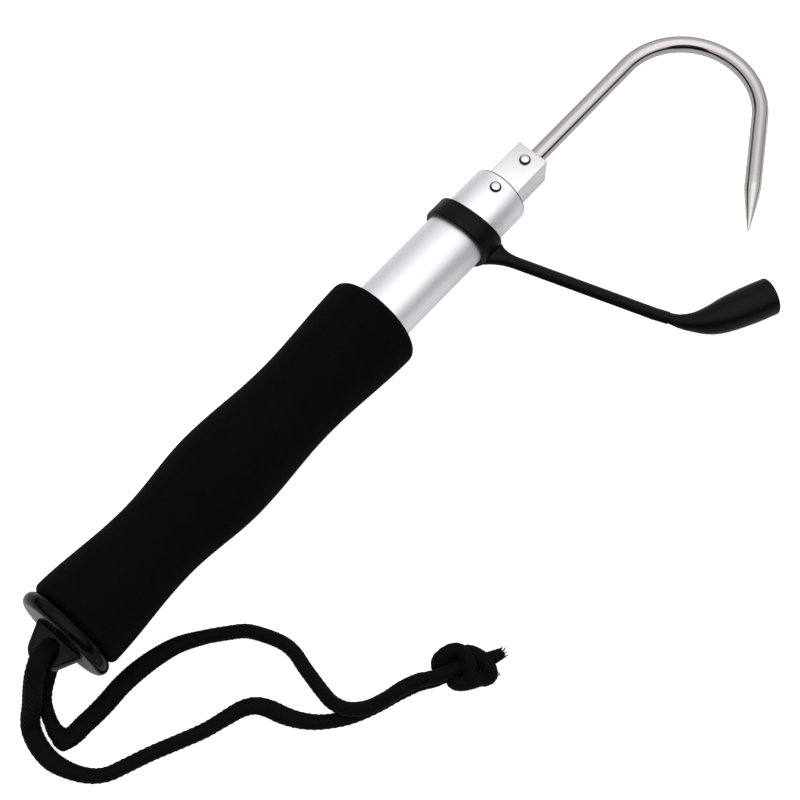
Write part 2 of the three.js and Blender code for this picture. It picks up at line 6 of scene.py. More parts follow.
import bmesh
import bpy
from mathutils import Matrix, Vector
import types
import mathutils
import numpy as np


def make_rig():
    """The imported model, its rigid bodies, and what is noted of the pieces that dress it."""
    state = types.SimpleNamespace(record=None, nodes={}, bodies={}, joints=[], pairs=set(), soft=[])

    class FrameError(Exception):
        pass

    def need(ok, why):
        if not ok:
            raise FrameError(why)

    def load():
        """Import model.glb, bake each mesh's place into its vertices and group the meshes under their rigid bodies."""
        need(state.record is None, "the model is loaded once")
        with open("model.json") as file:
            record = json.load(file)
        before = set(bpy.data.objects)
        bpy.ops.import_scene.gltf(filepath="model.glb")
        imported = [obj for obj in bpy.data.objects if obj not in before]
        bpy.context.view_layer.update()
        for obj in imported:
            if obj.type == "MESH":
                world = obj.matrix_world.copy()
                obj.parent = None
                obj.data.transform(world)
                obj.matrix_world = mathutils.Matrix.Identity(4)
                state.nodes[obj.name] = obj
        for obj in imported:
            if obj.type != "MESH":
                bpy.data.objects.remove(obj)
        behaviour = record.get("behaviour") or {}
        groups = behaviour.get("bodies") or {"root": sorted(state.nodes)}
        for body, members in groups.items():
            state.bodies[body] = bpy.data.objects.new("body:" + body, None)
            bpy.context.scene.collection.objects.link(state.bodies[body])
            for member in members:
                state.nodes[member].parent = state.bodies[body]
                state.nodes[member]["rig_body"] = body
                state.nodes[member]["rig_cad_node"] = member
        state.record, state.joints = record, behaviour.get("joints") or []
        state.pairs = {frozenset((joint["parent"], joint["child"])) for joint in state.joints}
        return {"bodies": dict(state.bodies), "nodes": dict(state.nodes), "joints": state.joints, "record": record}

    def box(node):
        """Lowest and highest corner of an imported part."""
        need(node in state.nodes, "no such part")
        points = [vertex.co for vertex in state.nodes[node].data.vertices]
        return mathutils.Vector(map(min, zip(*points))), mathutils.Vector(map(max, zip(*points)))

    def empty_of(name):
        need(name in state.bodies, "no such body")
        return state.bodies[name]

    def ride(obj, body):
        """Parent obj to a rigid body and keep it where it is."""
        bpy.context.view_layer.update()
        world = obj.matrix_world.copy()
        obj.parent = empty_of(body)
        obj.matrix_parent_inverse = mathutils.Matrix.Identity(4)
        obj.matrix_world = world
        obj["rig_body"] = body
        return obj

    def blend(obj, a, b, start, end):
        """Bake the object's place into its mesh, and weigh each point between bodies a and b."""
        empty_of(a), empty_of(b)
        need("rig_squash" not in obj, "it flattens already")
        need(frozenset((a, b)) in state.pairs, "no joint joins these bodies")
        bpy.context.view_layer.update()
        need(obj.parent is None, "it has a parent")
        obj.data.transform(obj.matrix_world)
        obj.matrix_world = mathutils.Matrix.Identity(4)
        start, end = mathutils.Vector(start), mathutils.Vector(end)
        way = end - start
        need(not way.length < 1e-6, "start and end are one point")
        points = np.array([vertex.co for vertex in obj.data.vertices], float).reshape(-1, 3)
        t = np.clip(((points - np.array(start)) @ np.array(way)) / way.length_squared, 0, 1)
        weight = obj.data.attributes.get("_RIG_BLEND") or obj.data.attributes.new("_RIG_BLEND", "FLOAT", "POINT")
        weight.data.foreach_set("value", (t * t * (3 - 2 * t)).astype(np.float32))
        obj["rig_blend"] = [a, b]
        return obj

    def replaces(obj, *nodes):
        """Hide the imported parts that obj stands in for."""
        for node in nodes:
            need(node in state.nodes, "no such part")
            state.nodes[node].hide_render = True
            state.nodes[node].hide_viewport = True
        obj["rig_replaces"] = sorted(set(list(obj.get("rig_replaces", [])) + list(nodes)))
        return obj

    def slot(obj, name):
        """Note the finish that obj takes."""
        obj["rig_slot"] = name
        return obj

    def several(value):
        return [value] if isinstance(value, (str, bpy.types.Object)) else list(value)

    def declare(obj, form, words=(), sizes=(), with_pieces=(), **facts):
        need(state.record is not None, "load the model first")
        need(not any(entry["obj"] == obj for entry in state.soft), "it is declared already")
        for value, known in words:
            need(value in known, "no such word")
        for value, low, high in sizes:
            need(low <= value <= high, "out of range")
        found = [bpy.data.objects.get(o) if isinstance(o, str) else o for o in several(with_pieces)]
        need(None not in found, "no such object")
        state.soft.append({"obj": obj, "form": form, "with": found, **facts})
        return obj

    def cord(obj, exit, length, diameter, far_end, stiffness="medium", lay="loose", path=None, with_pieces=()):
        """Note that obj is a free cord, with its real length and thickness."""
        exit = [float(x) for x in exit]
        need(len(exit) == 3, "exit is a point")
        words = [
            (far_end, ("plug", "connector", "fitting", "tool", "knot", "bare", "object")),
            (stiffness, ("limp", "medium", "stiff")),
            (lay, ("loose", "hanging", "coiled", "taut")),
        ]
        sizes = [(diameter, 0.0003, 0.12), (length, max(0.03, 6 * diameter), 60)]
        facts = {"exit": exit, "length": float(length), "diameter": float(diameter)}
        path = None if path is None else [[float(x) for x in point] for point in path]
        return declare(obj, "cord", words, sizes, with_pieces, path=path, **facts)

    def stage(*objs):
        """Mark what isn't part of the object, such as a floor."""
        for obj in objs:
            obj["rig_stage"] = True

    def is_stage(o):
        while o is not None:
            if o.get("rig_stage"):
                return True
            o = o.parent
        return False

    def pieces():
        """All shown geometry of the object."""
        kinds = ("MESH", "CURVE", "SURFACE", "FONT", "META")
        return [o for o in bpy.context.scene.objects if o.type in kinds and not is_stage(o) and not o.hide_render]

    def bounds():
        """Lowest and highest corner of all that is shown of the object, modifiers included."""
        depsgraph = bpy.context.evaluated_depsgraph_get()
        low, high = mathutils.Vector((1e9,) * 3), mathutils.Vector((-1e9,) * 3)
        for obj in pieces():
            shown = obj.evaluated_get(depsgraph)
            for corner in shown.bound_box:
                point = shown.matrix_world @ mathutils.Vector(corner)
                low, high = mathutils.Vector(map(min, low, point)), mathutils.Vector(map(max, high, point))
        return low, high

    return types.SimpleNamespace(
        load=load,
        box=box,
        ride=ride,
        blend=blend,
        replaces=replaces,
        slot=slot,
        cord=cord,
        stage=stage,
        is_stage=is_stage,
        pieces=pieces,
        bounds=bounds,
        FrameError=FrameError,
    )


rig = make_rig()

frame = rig.load()
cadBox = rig.bounds()
scene = bpy.context.scene
mm = 0.001
print("frame loaded:", len(frame["nodes"]), "nodes")

# The handle's own measure is in millimetres on its axis, from where the grip meets the cap
tubeStart = 0.3
tubeLow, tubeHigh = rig.box("outer_tube")
axisStart = Vector((tubeLow.x - tubeStart * mm, (tubeLow.y + tubeHigh.y) / 2, (tubeLow.z + tubeHigh.z) / 2))
axisHeight = axisStart.z / mm
upward = Vector((0, 0, 1))


def place(along, side=0.0, up=0.0):
    return axisStart + Vector((along, side, up)) * mm


# Camera, standing where the photograph was taken from
camera = dict(spot=(-0.223775, -0.164684, 0.610802), azimuth=-48.786, elevation=65.4, lens=90, sensor=36)


def addCamera():
    turn, lift = radians(camera["azimuth"]), radians(camera["elevation"])
    back = Vector((sin(turn) * cos(lift), -cos(turn) * cos(lift), sin(lift)))
    data = bpy.data.cameras.new("photoCamera")
    data.lens, data.sensor_width = camera["lens"], camera["sensor"]
    holder = bpy.data.objects.new("photoCamera", data)
    holder.location = camera["spot"]
    holder.rotation_mode = "QUATERNION"
    holder.rotation_quaternion = (-back).to_track_quat("-Z", "Y")
    scene.collection.objects.link(holder)
    scene.camera = holder


addCamera()
scene.view_settings.view_transform = "Standard"
scene.view_settings.look = "None"


# Node helpers
def addNode(tree, kind, inputs=None, **settings):
    node = tree.nodes.new("ShaderNode" + kind)
    for key, value in settings.items():
        setattr(node, key, value)
    for key, value in (inputs or {}).items():
        if isinstance(value, bpy.types.NodeSocket):
            tree.links.new(value, node.inputs[key])
        else:
            node.inputs[key].default_value = value
    return node


def mathNode(tree, operation, *values):
    return addNode(tree, "Math", dict(enumerate(values)), operation=operation).outputs[0]


def coordinates(tree, kind):
    return addNode(tree, "TexCoord").outputs[kind]


def noiseNode(tree, vector, scale, detail, roughness):
    return addNode(tree, "TexNoise", {
        "Vector": vector, "Scale": scale, "Detail": detail, "Roughness": roughness,
    }).outputs["Fac"]


def bumpNode(tree, height, depth, strength=1.0, **more):
    return addNode(tree, "Bump", {
        "Strength": strength, "Distance": depth, "Height": height, **more,
    }).outputs["Normal"]


def facingNode(tree, toward, way):
    # the cosine of the angle between a direction and a fixed way
    node = addNode(tree, "VectorMath", {0: toward, 1: way}, operation="DOT_PRODUCT")
    return node.outputs["Value"]


def easeNode(tree, value, start, end):
    # rises smoothly from 0 at start to 1 at end
    return addNode(tree, "MapRange", {
        "Value": value, "From Min": start, "From Max": end,
    }, interpolation_type="SMOOTHSTEP").outputs["Result"]


def rampNode(tree, factor, stops):
    node = addNode(tree, "ValToRGB", {"Fac": factor})
    elements = node.color_ramp.elements
    while len(elements) < len(stops):
        elements.new(0.5)
    for element, (position, value) in zip(elements, stops):
        element.position = position
        element.color = (value, value, value, 1)
    return node.outputs["Color"]


def newGroup(name, inputs, outputs):
    tree = bpy.data.node_groups.new(name, "ShaderNodeTree")
    for direction, labels in (("INPUT", inputs), ("OUTPUT", outputs)):
        for label in labels:
            kind = "NodeSocketVector" if label in ("Vector", "Normal") else "NodeSocketFloat"
            tree.interface.new_socket(label, in_out=direction, socket_type=kind)
    return tree, tree.nodes.new("NodeGroupInput").outputs, tree.nodes.new("NodeGroupOutput").inputs


def newMaterial(name, values):
    material = bpy.data.materials.new(name)
    material.use_nodes = True
    shader = material.node_tree.nodes["Principled BSDF"]
    for label, value in values.items():
        shader.inputs[label].default_value = value
    return material, material.node_tree


# Floor and light: a pale table in a soft white studio, lit by a broad light overhead. Low down the
# walls are dark, and so is the photographer's side, which draws the dark lines on polished steel.
studio = dict(
    floorSize=3.0, floorDrop=0.0001, floorColor=0.8, floorLift=0.75, backdrop=1.0, wall=0.82, wallSide=0.1,
    # each round patch of sky: the way to its middle, degrees to its soft edge and its end, change of light
    patches=[
        dict(way=(0.02, -0.16, 0.98), full=14, end=54, light=0.92),
        dict(way=(0.2, -0.72, 0.66), full=4, end=28, light=0.3),
        dict(way=(-0.68, -0.60, 0.42), full=22, end=30, light=-0.95),
    ],
    # light by height, which runs from 0 straight down to 1 straight up
    lowStops=[(0.485, 1.0), (0.5, 0.05), (0.555, 0.05), (0.58, 1.0)],
    # the dark side, which reaches higher, by how far a direction faces its middle
    darkWay=(-0.966, -0.259, 0.0), darkFrom=-0.58, darkFull=-0.15, darkAmount=0.95,
    darkStops=[(0.485, 0.0), (0.5, 1.0), (0.67, 1.0), (0.735, 0.0)],
)


def addStudio():
    mesh = bpy.data.meshes.new("floor")
    bm = bmesh.new()
    bmesh.ops.create_grid(bm, x_segments=1, y_segments=1, size=studio["floorSize"] / 2)
    bmesh.ops.translate(bm, verts=bm.verts, vec=(0, 0, -studio["floorDrop"]))
    bm.to_mesh(mesh)
    bm.free()
    floor = bpy.data.objects.new("floor", mesh)
    scene.collection.objects.link(floor)
    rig.stage(floor)
    shade = studio["floorColor"]
    material, tree = newMaterial("paleFloor", {
        "Base Color": (shade, shade, shade, 1), "Roughness": 0.9, "Specular IOR Level": 0.1,
        "Emission Color": (1, 1, 1, 1),
    })
    seen = addNode(tree, "LightPath").outputs["Is Camera Ray"]
    glow = tree.nodes["Principled BSDF"].inputs["Emission Strength"]
    tree.links.new(mathNode(tree, "MULTIPLY", seen, studio["floorLift"]), glow)
    mesh.materials.append(material)

    world = bpy.data.worlds.new("studio")
    scene.world = world
    world.use_nodes = True
    tree = world.node_tree
    tree.nodes.clear()
    way = coordinates(tree, "Generated")
    parts = addNode(tree, "SeparateXYZ", {0: way}).outputs
    # the wall behind the handle is lighter than the one on the gap's side
    sky = mathNode(tree, "MULTIPLY_ADD", parts["Y"], studio["wallSide"], studio["wall"])
    height = mathNode(tree, "MULTIPLY_ADD", parts["Z"], 0.5, 0.5)
    sky = mathNode(tree, "MULTIPLY", sky, rampNode(tree, height, studio["lowStops"]))
    onSide = easeNode(tree, facingNode(tree, way, studio["darkWay"]), studio["darkFrom"], studio["darkFull"])
    dark = mathNode(tree, "MULTIPLY", rampNode(tree, height, studio["darkStops"]), onSide)
    sky = mathNode(tree, "MULTIPLY", sky, mathNode(tree, "MULTIPLY_ADD", dark, -studio["darkAmount"], 1.0))
    for patch in studio["patches"]:
        end, full = (cos(radians(patch[key])) for key in ("end", "full"))
        mask = easeNode(tree, facingNode(tree, way, Vector(patch["way"]).normalized()), end, full)
        if patch["light"] > 0:
            sky = mathNode(tree, "MULTIPLY_ADD", mask, patch["light"], sky)
        else:
            sky = mathNode(tree, "MULTIPLY", sky, mathNode(tree, "MULTIPLY_ADD", mask, patch["light"], 1.0))
    lit = addNode(tree, "Background", {"Color": sky, "Strength": 1.0})
    pale = studio["backdrop"]
    plain = addNode(tree, "Background", {"Color": (pale, pale, pale, 1), "Strength": 1.0})
    seen = addNode(tree, "LightPath").outputs["Is Camera Ray"]
    mix = addNode(tree, "MixShader", {0: seen, 1: lit.outputs[0], 2: plain.outputs[0]})
    addNode(tree, "OutputWorld", {"Surface": mix.outputs[0]})


addStudio()
print("camera, floor and light are up")


# Shared effects
def makeSpeckle():
    # fine uneven grain on an object's own place: a mask round 0.5 and a bumped normal
    tree, given, out = newGroup("speckle", ["Scale", "Detail", "Depth"], ["Mask", "Normal"])
    grain = noiseNode(tree, coordinates(tree, "Object"), given["Scale"], given["Detail"], roughness=0.6)
    tree.links.new(grain, out["Mask"])
    tree.links.new(bumpNode(tree, grain, given["Depth"]), out["Normal"])
    return tree


def makeDrawnLines():
    # lines that drawing or turning leaves along a vector's first part
    tree, given, out = newGroup("drawnLines", ["Vector", "Along", "Across", "Depth"], ["Mask", "Normal"])
    stretch = addNode(tree, "CombineXYZ", {
        0: given["Along"], 1: given["Across"], 2: given["Across"],
    }).outputs[0]
    spot = addNode(tree, "VectorMath", {0: given["Vector"], 1: stretch}, operation="MULTIPLY")
    lines = noiseNode(tree, spot.outputs[0], scale=1.0, detail=3.0, roughness=0.65)
    tree.links.new(lines, out["Mask"])
    tree.links.new(bumpNode(tree, lines, given["Depth"]), out["Normal"])
    return tree


def makeHandling():
    # faint broad smudges from handling, which change only the gloss
    tree, given, out = newGroup("handling", ["Scale", "Amount"], ["Roughness"])
    cloud = noiseNode(tree, coordinates(tree, "Object"), given["Scale"], detail=4.0, roughness=0.7)
    centred = mathNode(tree, "SUBTRACT", cloud, 0.5)
    tree.links.new(mathNode(tree, "MULTIPLY", centred, given["Amount"]), out["Roughness"])
    return tree


speckle, drawnLines, handling = makeSpeckle(), makeDrawnLines(), makeHandling()


def useGroup(tree, group, **inputs):
    return addNode(tree, "Group", inputs, node_tree=group)


def feedShader(material, color, normal, roughness, smudge, smudgeScale, streaks=None):
    # smudges change the roughness by up to half of smudge, and streaks add their own pattern
    tree = material.node_tree
    cloud = useGroup(tree, handling, Scale=smudgeScale, Amount=smudge).outputs["Roughness"]
    value = mathNode(tree, "ADD", cloud, roughness)
    if streaks is not None:
        value = mathNode(tree, "ADD", value, streaks)
    for label, socket in (("Base Color", color), ("Roughness", value), ("Normal", normal)):
        tree.links.new(socket, tree.nodes["Principled BSDF"].inputs[label])
    return material


def mixColors(tree, factor, first, second):
    node = addNode(tree, "Mix", data_type="RGBA")
    tree.links.new(factor, node.inputs[0])
    for index, value in ((6, first), (7, second)):
        node.inputs[index].default_value = (*value, 1)
    return node.outputs[2]


# How far the drawn lines change a metal's gloss, and how far and how finely handling does on each kind
metalLines = 0.12
metalGloss = dict(smudge=0.1, smudgeScale=70.0)
grainGloss = dict(smudge=0.12, smudgeScale=45.0)


def metalMaterial(name, color, dull, roughness, along, across, depth, byUv=False):
    # along and across: how fine the drawn lines are each way
    material, tree = newMaterial(name, {"Metallic": 1.0})
    vector = coordinates(tree, "UV" if byUv else "Object")
    lines = useGroup(tree, drawnLines, Vector=vector, Along=along, Across=across, Depth=depth).outputs
    streaks = mathNode(tree, "MULTIPLY_ADD", lines["Mask"], -metalLines, metalLines / 2)
    mixed = mixColors(tree, lines["Mask"], dull, color)
    return feedShader(material, mixed, lines["Normal"], roughness, streaks=streaks, **metalGloss)


aluminium = metalMaterial(
    "satinAluminium", (0.885, 0.875, 0.915), dull=(0.805, 0.795, 0.835), roughness=0.47,
    along=14.0, across=2600.0, depth=0.000004,
)
blockAluminium = metalMaterial(
    "milledAluminium", (0.72, 0.71, 0.73), dull=(0.68, 0.67, 0.69), roughness=0.36,
    along=30.0, across=1800.0, depth=0.000005,
)
hookSteel = metalMaterial(
    "polishedSteel", (0.51, 0.483, 0.48), dull=(0.44, 0.415, 0.412), roughness=0.08,
    along=0.02, across=60.0, depth=0.000001, byUv=True,
)
groundSteel = metalMaterial(
    "groundSteel", (0.54, 0.535, 0.515), dull=(0.45, 0.445, 0.43), roughness=0.1,
    along=1.2, across=14.0, depth=0.000012, byUv=True,
)
rivetSteel = metalMaterial(
    "rivetSteel", (0.84, 0.83, 0.83), dull=(0.76, 0.75, 0.75), roughness=0.12,
    along=300.0, across=300.0, depth=0.000002,
)
# dark metal that paints shade on the collar's front edge and round the rivets' heads
paintedShadeMetal = metalMaterial(
    "paintedShadeMetal", (0.05, 0.045, 0.05), dull=(0.025, 0.025, 0.025), roughness=0.3,
    along=300.0, across=300.0, depth=0.000006,
)
springSteel = metalMaterial(
    "springSteel", (0.5, 0.5, 0.51), dull=(0.4, 0.4, 0.41), roughness=0.32,
    along=300.0, across=900.0, depth=0.000004,
)


def grainyMaterial(name, color, faded, roughness, scale, depth, specular):
    material, tree = newMaterial(name, {"Specular IOR Level": specular})
    grain = useGroup(tree, speckle, Scale=scale, Detail=2.0, Depth=depth).outputs
    mixed = mixColors(tree, grain["Mask"], color, faded)
    return feedShader(material, mixed, grain["Normal"], roughness, **grainGloss)


rubber = grainyMaterial(
    "guardRubber", (0.0016, 0.0016, 0.0018), faded=(0.003, 0.003, 0.0033), roughness=0.36,
    scale=1400.0, depth=0.00002, specular=0.095,
)
capPlastic = grainyMaterial(
    "glossCap", (0.0013, 0.0013, 0.0015), faded=(0.0022, 0.0022, 0.0025), roughness=0.2,
    scale=500.0, depth=0.000003, specular=0.09,
)
guidePlastic = grainyMaterial(
    "guidePlastic", (0.72, 0.72, 0.66), faded=(0.8, 0.8, 0.75), roughness=0.45,
    scale=800.0, depth=0.00001, specular=0.4,
)


def foamMaterial():
    # closed cells show as small pits with a slightly paler skin round them
    material, tree = newMaterial("gripFoam", {"Specular IOR Level": 0.05})
    spot = coordinates(tree, "Object")
    cells = addNode(tree, "TexVoronoi", {"Vector": spot, "Scale": 1300.0}, feature="F1")
    pits = rampNode(tree, cells.outputs["Distance"], [(0.0, 0.0), (0.32, 0.55), (0.75, 1.0)])
    grain = useGroup(tree, speckle, Scale=260.0, Detail=5.0, Depth=0.00008).outputs
    color = mixColors(tree, grain["Mask"], (0.0014, 0.0013, 0.0014), (0.0032, 0.003, 0.0032))
    normal = bumpNode(tree, pits, depth=0.00012, strength=0.6, Normal=grain["Normal"])
    return feedShader(material, color, normal, roughness=0.9, smudge=0.1, smudgeScale=90.0)


gripFoam = foamMaterial()

# The braid of the lanyard: eight yarns each way, one over and one under
cord = dict(
    diameter=4.6, yarns=8, pitch=16.5, relief=0.24, sides=64, step=0.36,
    # the height that lies on the diameter, and powers that round a yarn off across it and over the next
    level=0.72, roundAcross=0.5, roundOver=0.9,
    # how fine the filaments are across a yarn and along it
    filamentAcross=9.0, filamentAlong=0.8,
)


def cordMaterial():
    # UV runs in millimetres along the cord and from 0 to 1 round it
    material, tree = newMaterial("braidedCord", {
        "Specular IOR Level": 0.06, "Sheen Weight": 0.015, "Sheen Roughness": 0.5,
    })
    parts = addNode(tree, "SeparateXYZ", {0: coordinates(tree, "UV")}).outputs
    along = mathNode(tree, "MULTIPLY", parts[0], cord["yarns"] / cord["pitch"])
    around = mathNode(tree, "MULTIPLY", parts[1], float(cord["yarns"]))
    first = mathNode(tree, "ADD", along, around)
    second = mathNode(tree, "SUBTRACT", along, around)
    cellSum = mathNode(tree, "ADD", mathNode(tree, "FLOOR", first), mathNode(tree, "FLOOR", second))
    onTop = mathNode(tree, "FLOORED_MODULO", cellSum, 2.0)
    # filaments run along whichever yarn lies on top
    across, lengthwise = (
        addNode(tree, "Mix", {0: onTop, 2: under, 3: over}, data_type="FLOAT").outputs[0]
        for under, over in ((first, second), (second, first))
    )
    spread = addNode(tree, "CombineXYZ", {
        0: mathNode(tree, "MULTIPLY", across, cord["filamentAcross"]),
        1: mathNode(tree, "MULTIPLY", lengthwise, cord["filamentAlong"]), 2: cellSum,
    })
    filaments = noiseNode(tree, spread.outputs[0], scale=1.0, detail=2.0, roughness=0.6)
    color = mixColors(tree, filaments, (0.0006, 0.0006, 0.0007), (0.0032, 0.0032, 0.0035))
    normal = bumpNode(tree, filaments, depth=0.00012, strength=0.8)
    return feedShader(material, color, normal, roughness=0.72, smudge=0.1, smudgeScale=120.0)


braidedCord = cordMaterial()
print("materials are made")


# Modelling helpers: how close points have to lie to be joined, in m, and to count as a drawn point, in mm
weld, onPoint = 1e-6, 2e-3


def take(source, *keys):
    return [source[key] for key in keys]


def pick(items, kind):
    return [item for item in items if isinstance(item, getattr(bmesh.types, kind))]


def roundEdges(bm, edges, radius, segments):
    bmesh.ops.bevel(
        bm, geom=edges, offset=radius * mm, offset_type="OFFSET", segments=segments, profile=0.5,
        affect="EDGES", material=-1,
    )


def quarterTurn(steps):
    # (cosine, sine) at even steps of a quarter turn
    return [(cos(a), sin(a)) for a in (pi / 2 * i / steps for i in range(steps + 1))]


def finishPiece(bm, name, materials, slot, body, nodes, sharp=32):
    bmesh.ops.recalc_face_normals(bm, faces=bm.faces)
    mesh = bpy.data.meshes.new(name)
    bm.to_mesh(mesh)
    bm.free()
    mesh.shade_smooth()
    mesh.set_sharp_from_angle(angle=radians(sharp))
    for material in materials:
        mesh.materials.append(material)
    piece = bpy.data.objects.new(name, mesh)
    scene.collection.objects.link(piece)
    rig.slot(piece, slot)
    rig.replaces(piece, *nodes)
    if body:
        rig.ride(piece, body)
    print(f"{name}: {sum(len(p.vertices) - 2 for p in mesh.polygons)} triangles")
    return piece


def turnOutline(outline, sides=144, close=True, centre=axisStart, way=Vector((1, 0, 0)), segments=4):
    # spins (along, radius) points round a line; a third number rounds the edge that the point makes
    bm = bmesh.new()
    out = upward if abs(way.z) < 0.5 else Vector((1, 0, 0))
    corners = [bm.verts.new(centre + (way * point[0] + out * point[1]) * mm) for point in outline]
    pairs = list(zip(corners, corners[1:])) + ([(corners[-1], corners[0])] if close else [])
    edges = [bm.edges.new(pair) for pair in pairs]
    bmesh.ops.spin(
        bm, geom=corners + edges, cent=centre, axis=way, angle=tau, steps=sides, use_merge=True,
    )
    bmesh.ops.remove_doubles(bm, verts=bm.verts, dist=weld)
    bmesh.ops.recalc_face_normals(bm, faces=bm.faces)

    def distances(vert):
        off = (vert.co - centre) / mm
        along = off.dot(way)
        return along, (off - way * along).length
    for along, radius, rounding in (point for point in outline if len(point) == 3):
        ring = [edge for edge in bm.edges if all(
            math.dist(distances(vert), (along, radius)) < onPoint for vert in edge.verts
        )]
        roundEdges(bm, ring, rounding, segments)
    return bm


class Path:
    # a smooth line through points; its up direction is carried along without twist, or stays up if steady
    def __init__(self, points, spacing, steady=False, steps=24):
        dense = catmullRom(points, steps)
        lengths = [0.0]
        for a, b in zip(dense, dense[1:]):
            lengths.append(lengths[-1] + (b - a).length)
        self.length = lengths[-1]
        count = max(2, round(self.length / spacing))
        self.spots, index = [], 0
        for i in range(count + 1):
            goal = self.length * i / count
            while index < len(lengths) - 2 and lengths[index + 1] < goal:
                index += 1
            span = lengths[index + 1] - lengths[index]
            share = (goal - lengths[index]) / span if span > 0 else 0
            self.spots.append(dense[index].lerp(dense[index + 1], share))
        self.step = self.length / count
        ahead = self.spots[1:] + [self.spots[-1] * 2 - self.spots[-2]]
        behind = [self.spots[0] * 2 - self.spots[1]] + self.spots[:-1]
        self.ways = [(b - a).normalized() for a, b in zip(behind, ahead)]
        self.ups, last = [], upward
        for way in self.ways:
            last = upward if steady else last
            last = (last - way * last.dot(way)).normalized()
            self.ups.append(last)

    def at(self, distance, angle, radius):
        # a point on the tube's skin; beyond the ends the line runs on straight
        position = distance / self.step
        index = min(max(int(position), 0), len(self.spots) - 2)
        share = min(max(position - index, 0), 1)
        spot = self.spots[index].lerp(self.spots[index + 1], share)
        way = self.ways[index].lerp(self.ways[index + 1], share).normalized()
        up = self.ups[index].lerp(self.ups[index + 1], share)
        up = (up - way * up.dot(way)).normalized()
        spot = spot + way * ((position - index - share) * self.step)
        side = way.cross(up)
        return spot + (side * cos(angle) + up * sin(angle)) * radius


def catmullRom(points, steps):
    padded = [points[0] * 2 - points[1], *points, points[-1] * 2 - points[-2]]
    line = []
    for before, start, end, after in zip(padded, padded[1:], padded[2:], padded[3:]):
        for i in range(steps):
            t = i / steps
            line.append(0.5 * (
                start * 2 + (end - before) * t + (before * 2 - start * 5 + end * 4 - after) * t * t
                + (start * 3 - before - end * 3 + after) * t ** 3
            ))
    return line + [points[-1]]


def easeThrough(pairs, share):
    # straight lines through (share, value) pairs
    for (a, low), (b, high) in zip(pairs, pairs[1:]):
        if share <= b:
            return low + (high - low) * (share - a) / (b - a)
    return pairs[-1][1]


def smoothShare(pairs, share):
    # a Catmull-Rom line through (share, value) pairs
    last = len(pairs) - 1
    for i in range(last):
        (a, low), (b, high) = pairs[i], pairs[i + 1]
        if share <= b or i == last - 1:
            t = min(max((share - a) / (b - a), 0), 1)
            before = (high - pairs[i - 1][1]) / (b - pairs[i - 1][0]) if i else (high - low) / (b - a)
            after = (pairs[i + 2][1] - low) / (pairs[i + 2][0] - a) if i + 2 <= last else 0.0
            span = b - a
            return (
                (2 * t ** 3 - 3 * t * t + 1) * low + (t ** 3 - 2 * t * t + t) * span * before
                + (3 * t * t - 2 * t ** 3) * high + (t ** 3 - t * t) * span * after
            )


def wrapGrid(bm, rows, sides, skin):
    # lays a grid round a line: rows are what skin(row, angle) needs, and its UV is (distance in mm, turn)
    known = set(bm.verts)
    layer = bm.loops.layers.uv.verify()
    last = len(rows) - 1
    made = bmesh.ops.create_grid(bm, x_segments=last, y_segments=sides, size=0.5, calc_uvs=True)["verts"]
    seam = []
    for vert in made:
        row, column = round((vert.co.x + 0.5) * last), round((vert.co.y + 0.5) * sides)
        if column in (0, sides) or row in (0, last):
            seam.append(vert)
        vert.co = skin(rows[row], tau * column / sides)
    faces = {face for vert in made for face in vert.link_faces}
    for face in faces:
        for loop in face.loops:
            u, v = loop[layer].uv
            position = u * last
            index = min(int(position), last - 1)
            start, end = rows[index][0], rows[index + 1][0]
            loop[layer].uv = ((start + (end - start) * (position - index)), v)
    bmesh.ops.remove_doubles(bm, verts=seam, dist=weld)
    rims = {edge for vert in bm.verts if vert not in known for edge in vert.link_edges if edge.is_boundary}
    bmesh.ops.holes_fill(bm, edges=list(rims), sides=0)


# Lanyard: the strands' routes from the lug's eye to the knot, as (along, side) where a strand lies on the
# table, and with its middle's height over the table elsewhere
outerRoute = [
    (-9.5, 0.2, 17.9), (-9.7, 0, 20.4), (-12, -0.9, 23.2), (-15.6, -2.3, 24), (-19.1, -3.6, 21.2),
    (-22, -4.6, 15.8), (-24.7, -5.7, 9.9), (-27.6, -6.8, 4.9), (-30, -9.2, 2.7), (-32, -14.5),
    (-32.6, -20.9), (-30.8, -27.9), (-27.9, -33.2), (-24.2, -36.6), (-19.2, -38.8), (-10.9, -42.1),
    (-1.9, -46.3), (5.5, -49.6), (12.3, -51.7), (17.8, -53.4), (21.6, -55.9), (23.8, -59.7),
    (25.4, -65), (27.6, -69.9), (31.2, -74.9), (36.4, -79.4), (41.5, -82.4), (47.6, -85), (54.1, -87.2),
    (60, -89.7, 2.6), (62, -91.1, 2.8),
]
innerRoute = [
    (-9.5, -0.2, 16.9), (-9.7, -0.3, 14.4), (-11.7, -1.4, 11.4), (-14.8, -2.9, 9), (-18.1, -4.3, 6.6),
    (-20.9, -6.2, 4.2), (-22.9, -9.2, 2.7), (-24.4, -12.5), (-25.2, -15.2), (-24.7, -18.4),
    (-22.1, -19.8), (-17.9, -19.9), (-13.3, -20.2), (-7.8, -20.2), (-1.6, -19.9), (5.1, -20.3),
    (12.8, -21.7), (20.3, -24.2), (27.4, -28.7), (33.5, -33.5), (37.7, -37.4), (40.4, -42.6),
    (42.4, -48.6), (42.5, -53.7), (41, -59.3), (39.9, -64.1), (38.8, -69, 2.9), (37.9, -74.3, 4.9),
    (39.1, -79.7, 7.1), (43.4, -83.8, 7.2), (49.3, -86.3, 7.2), (55.4, -87.9, 7.2), (59.9, -89.9, 7.4),
    (61.8, -91.2, 7.5),
]


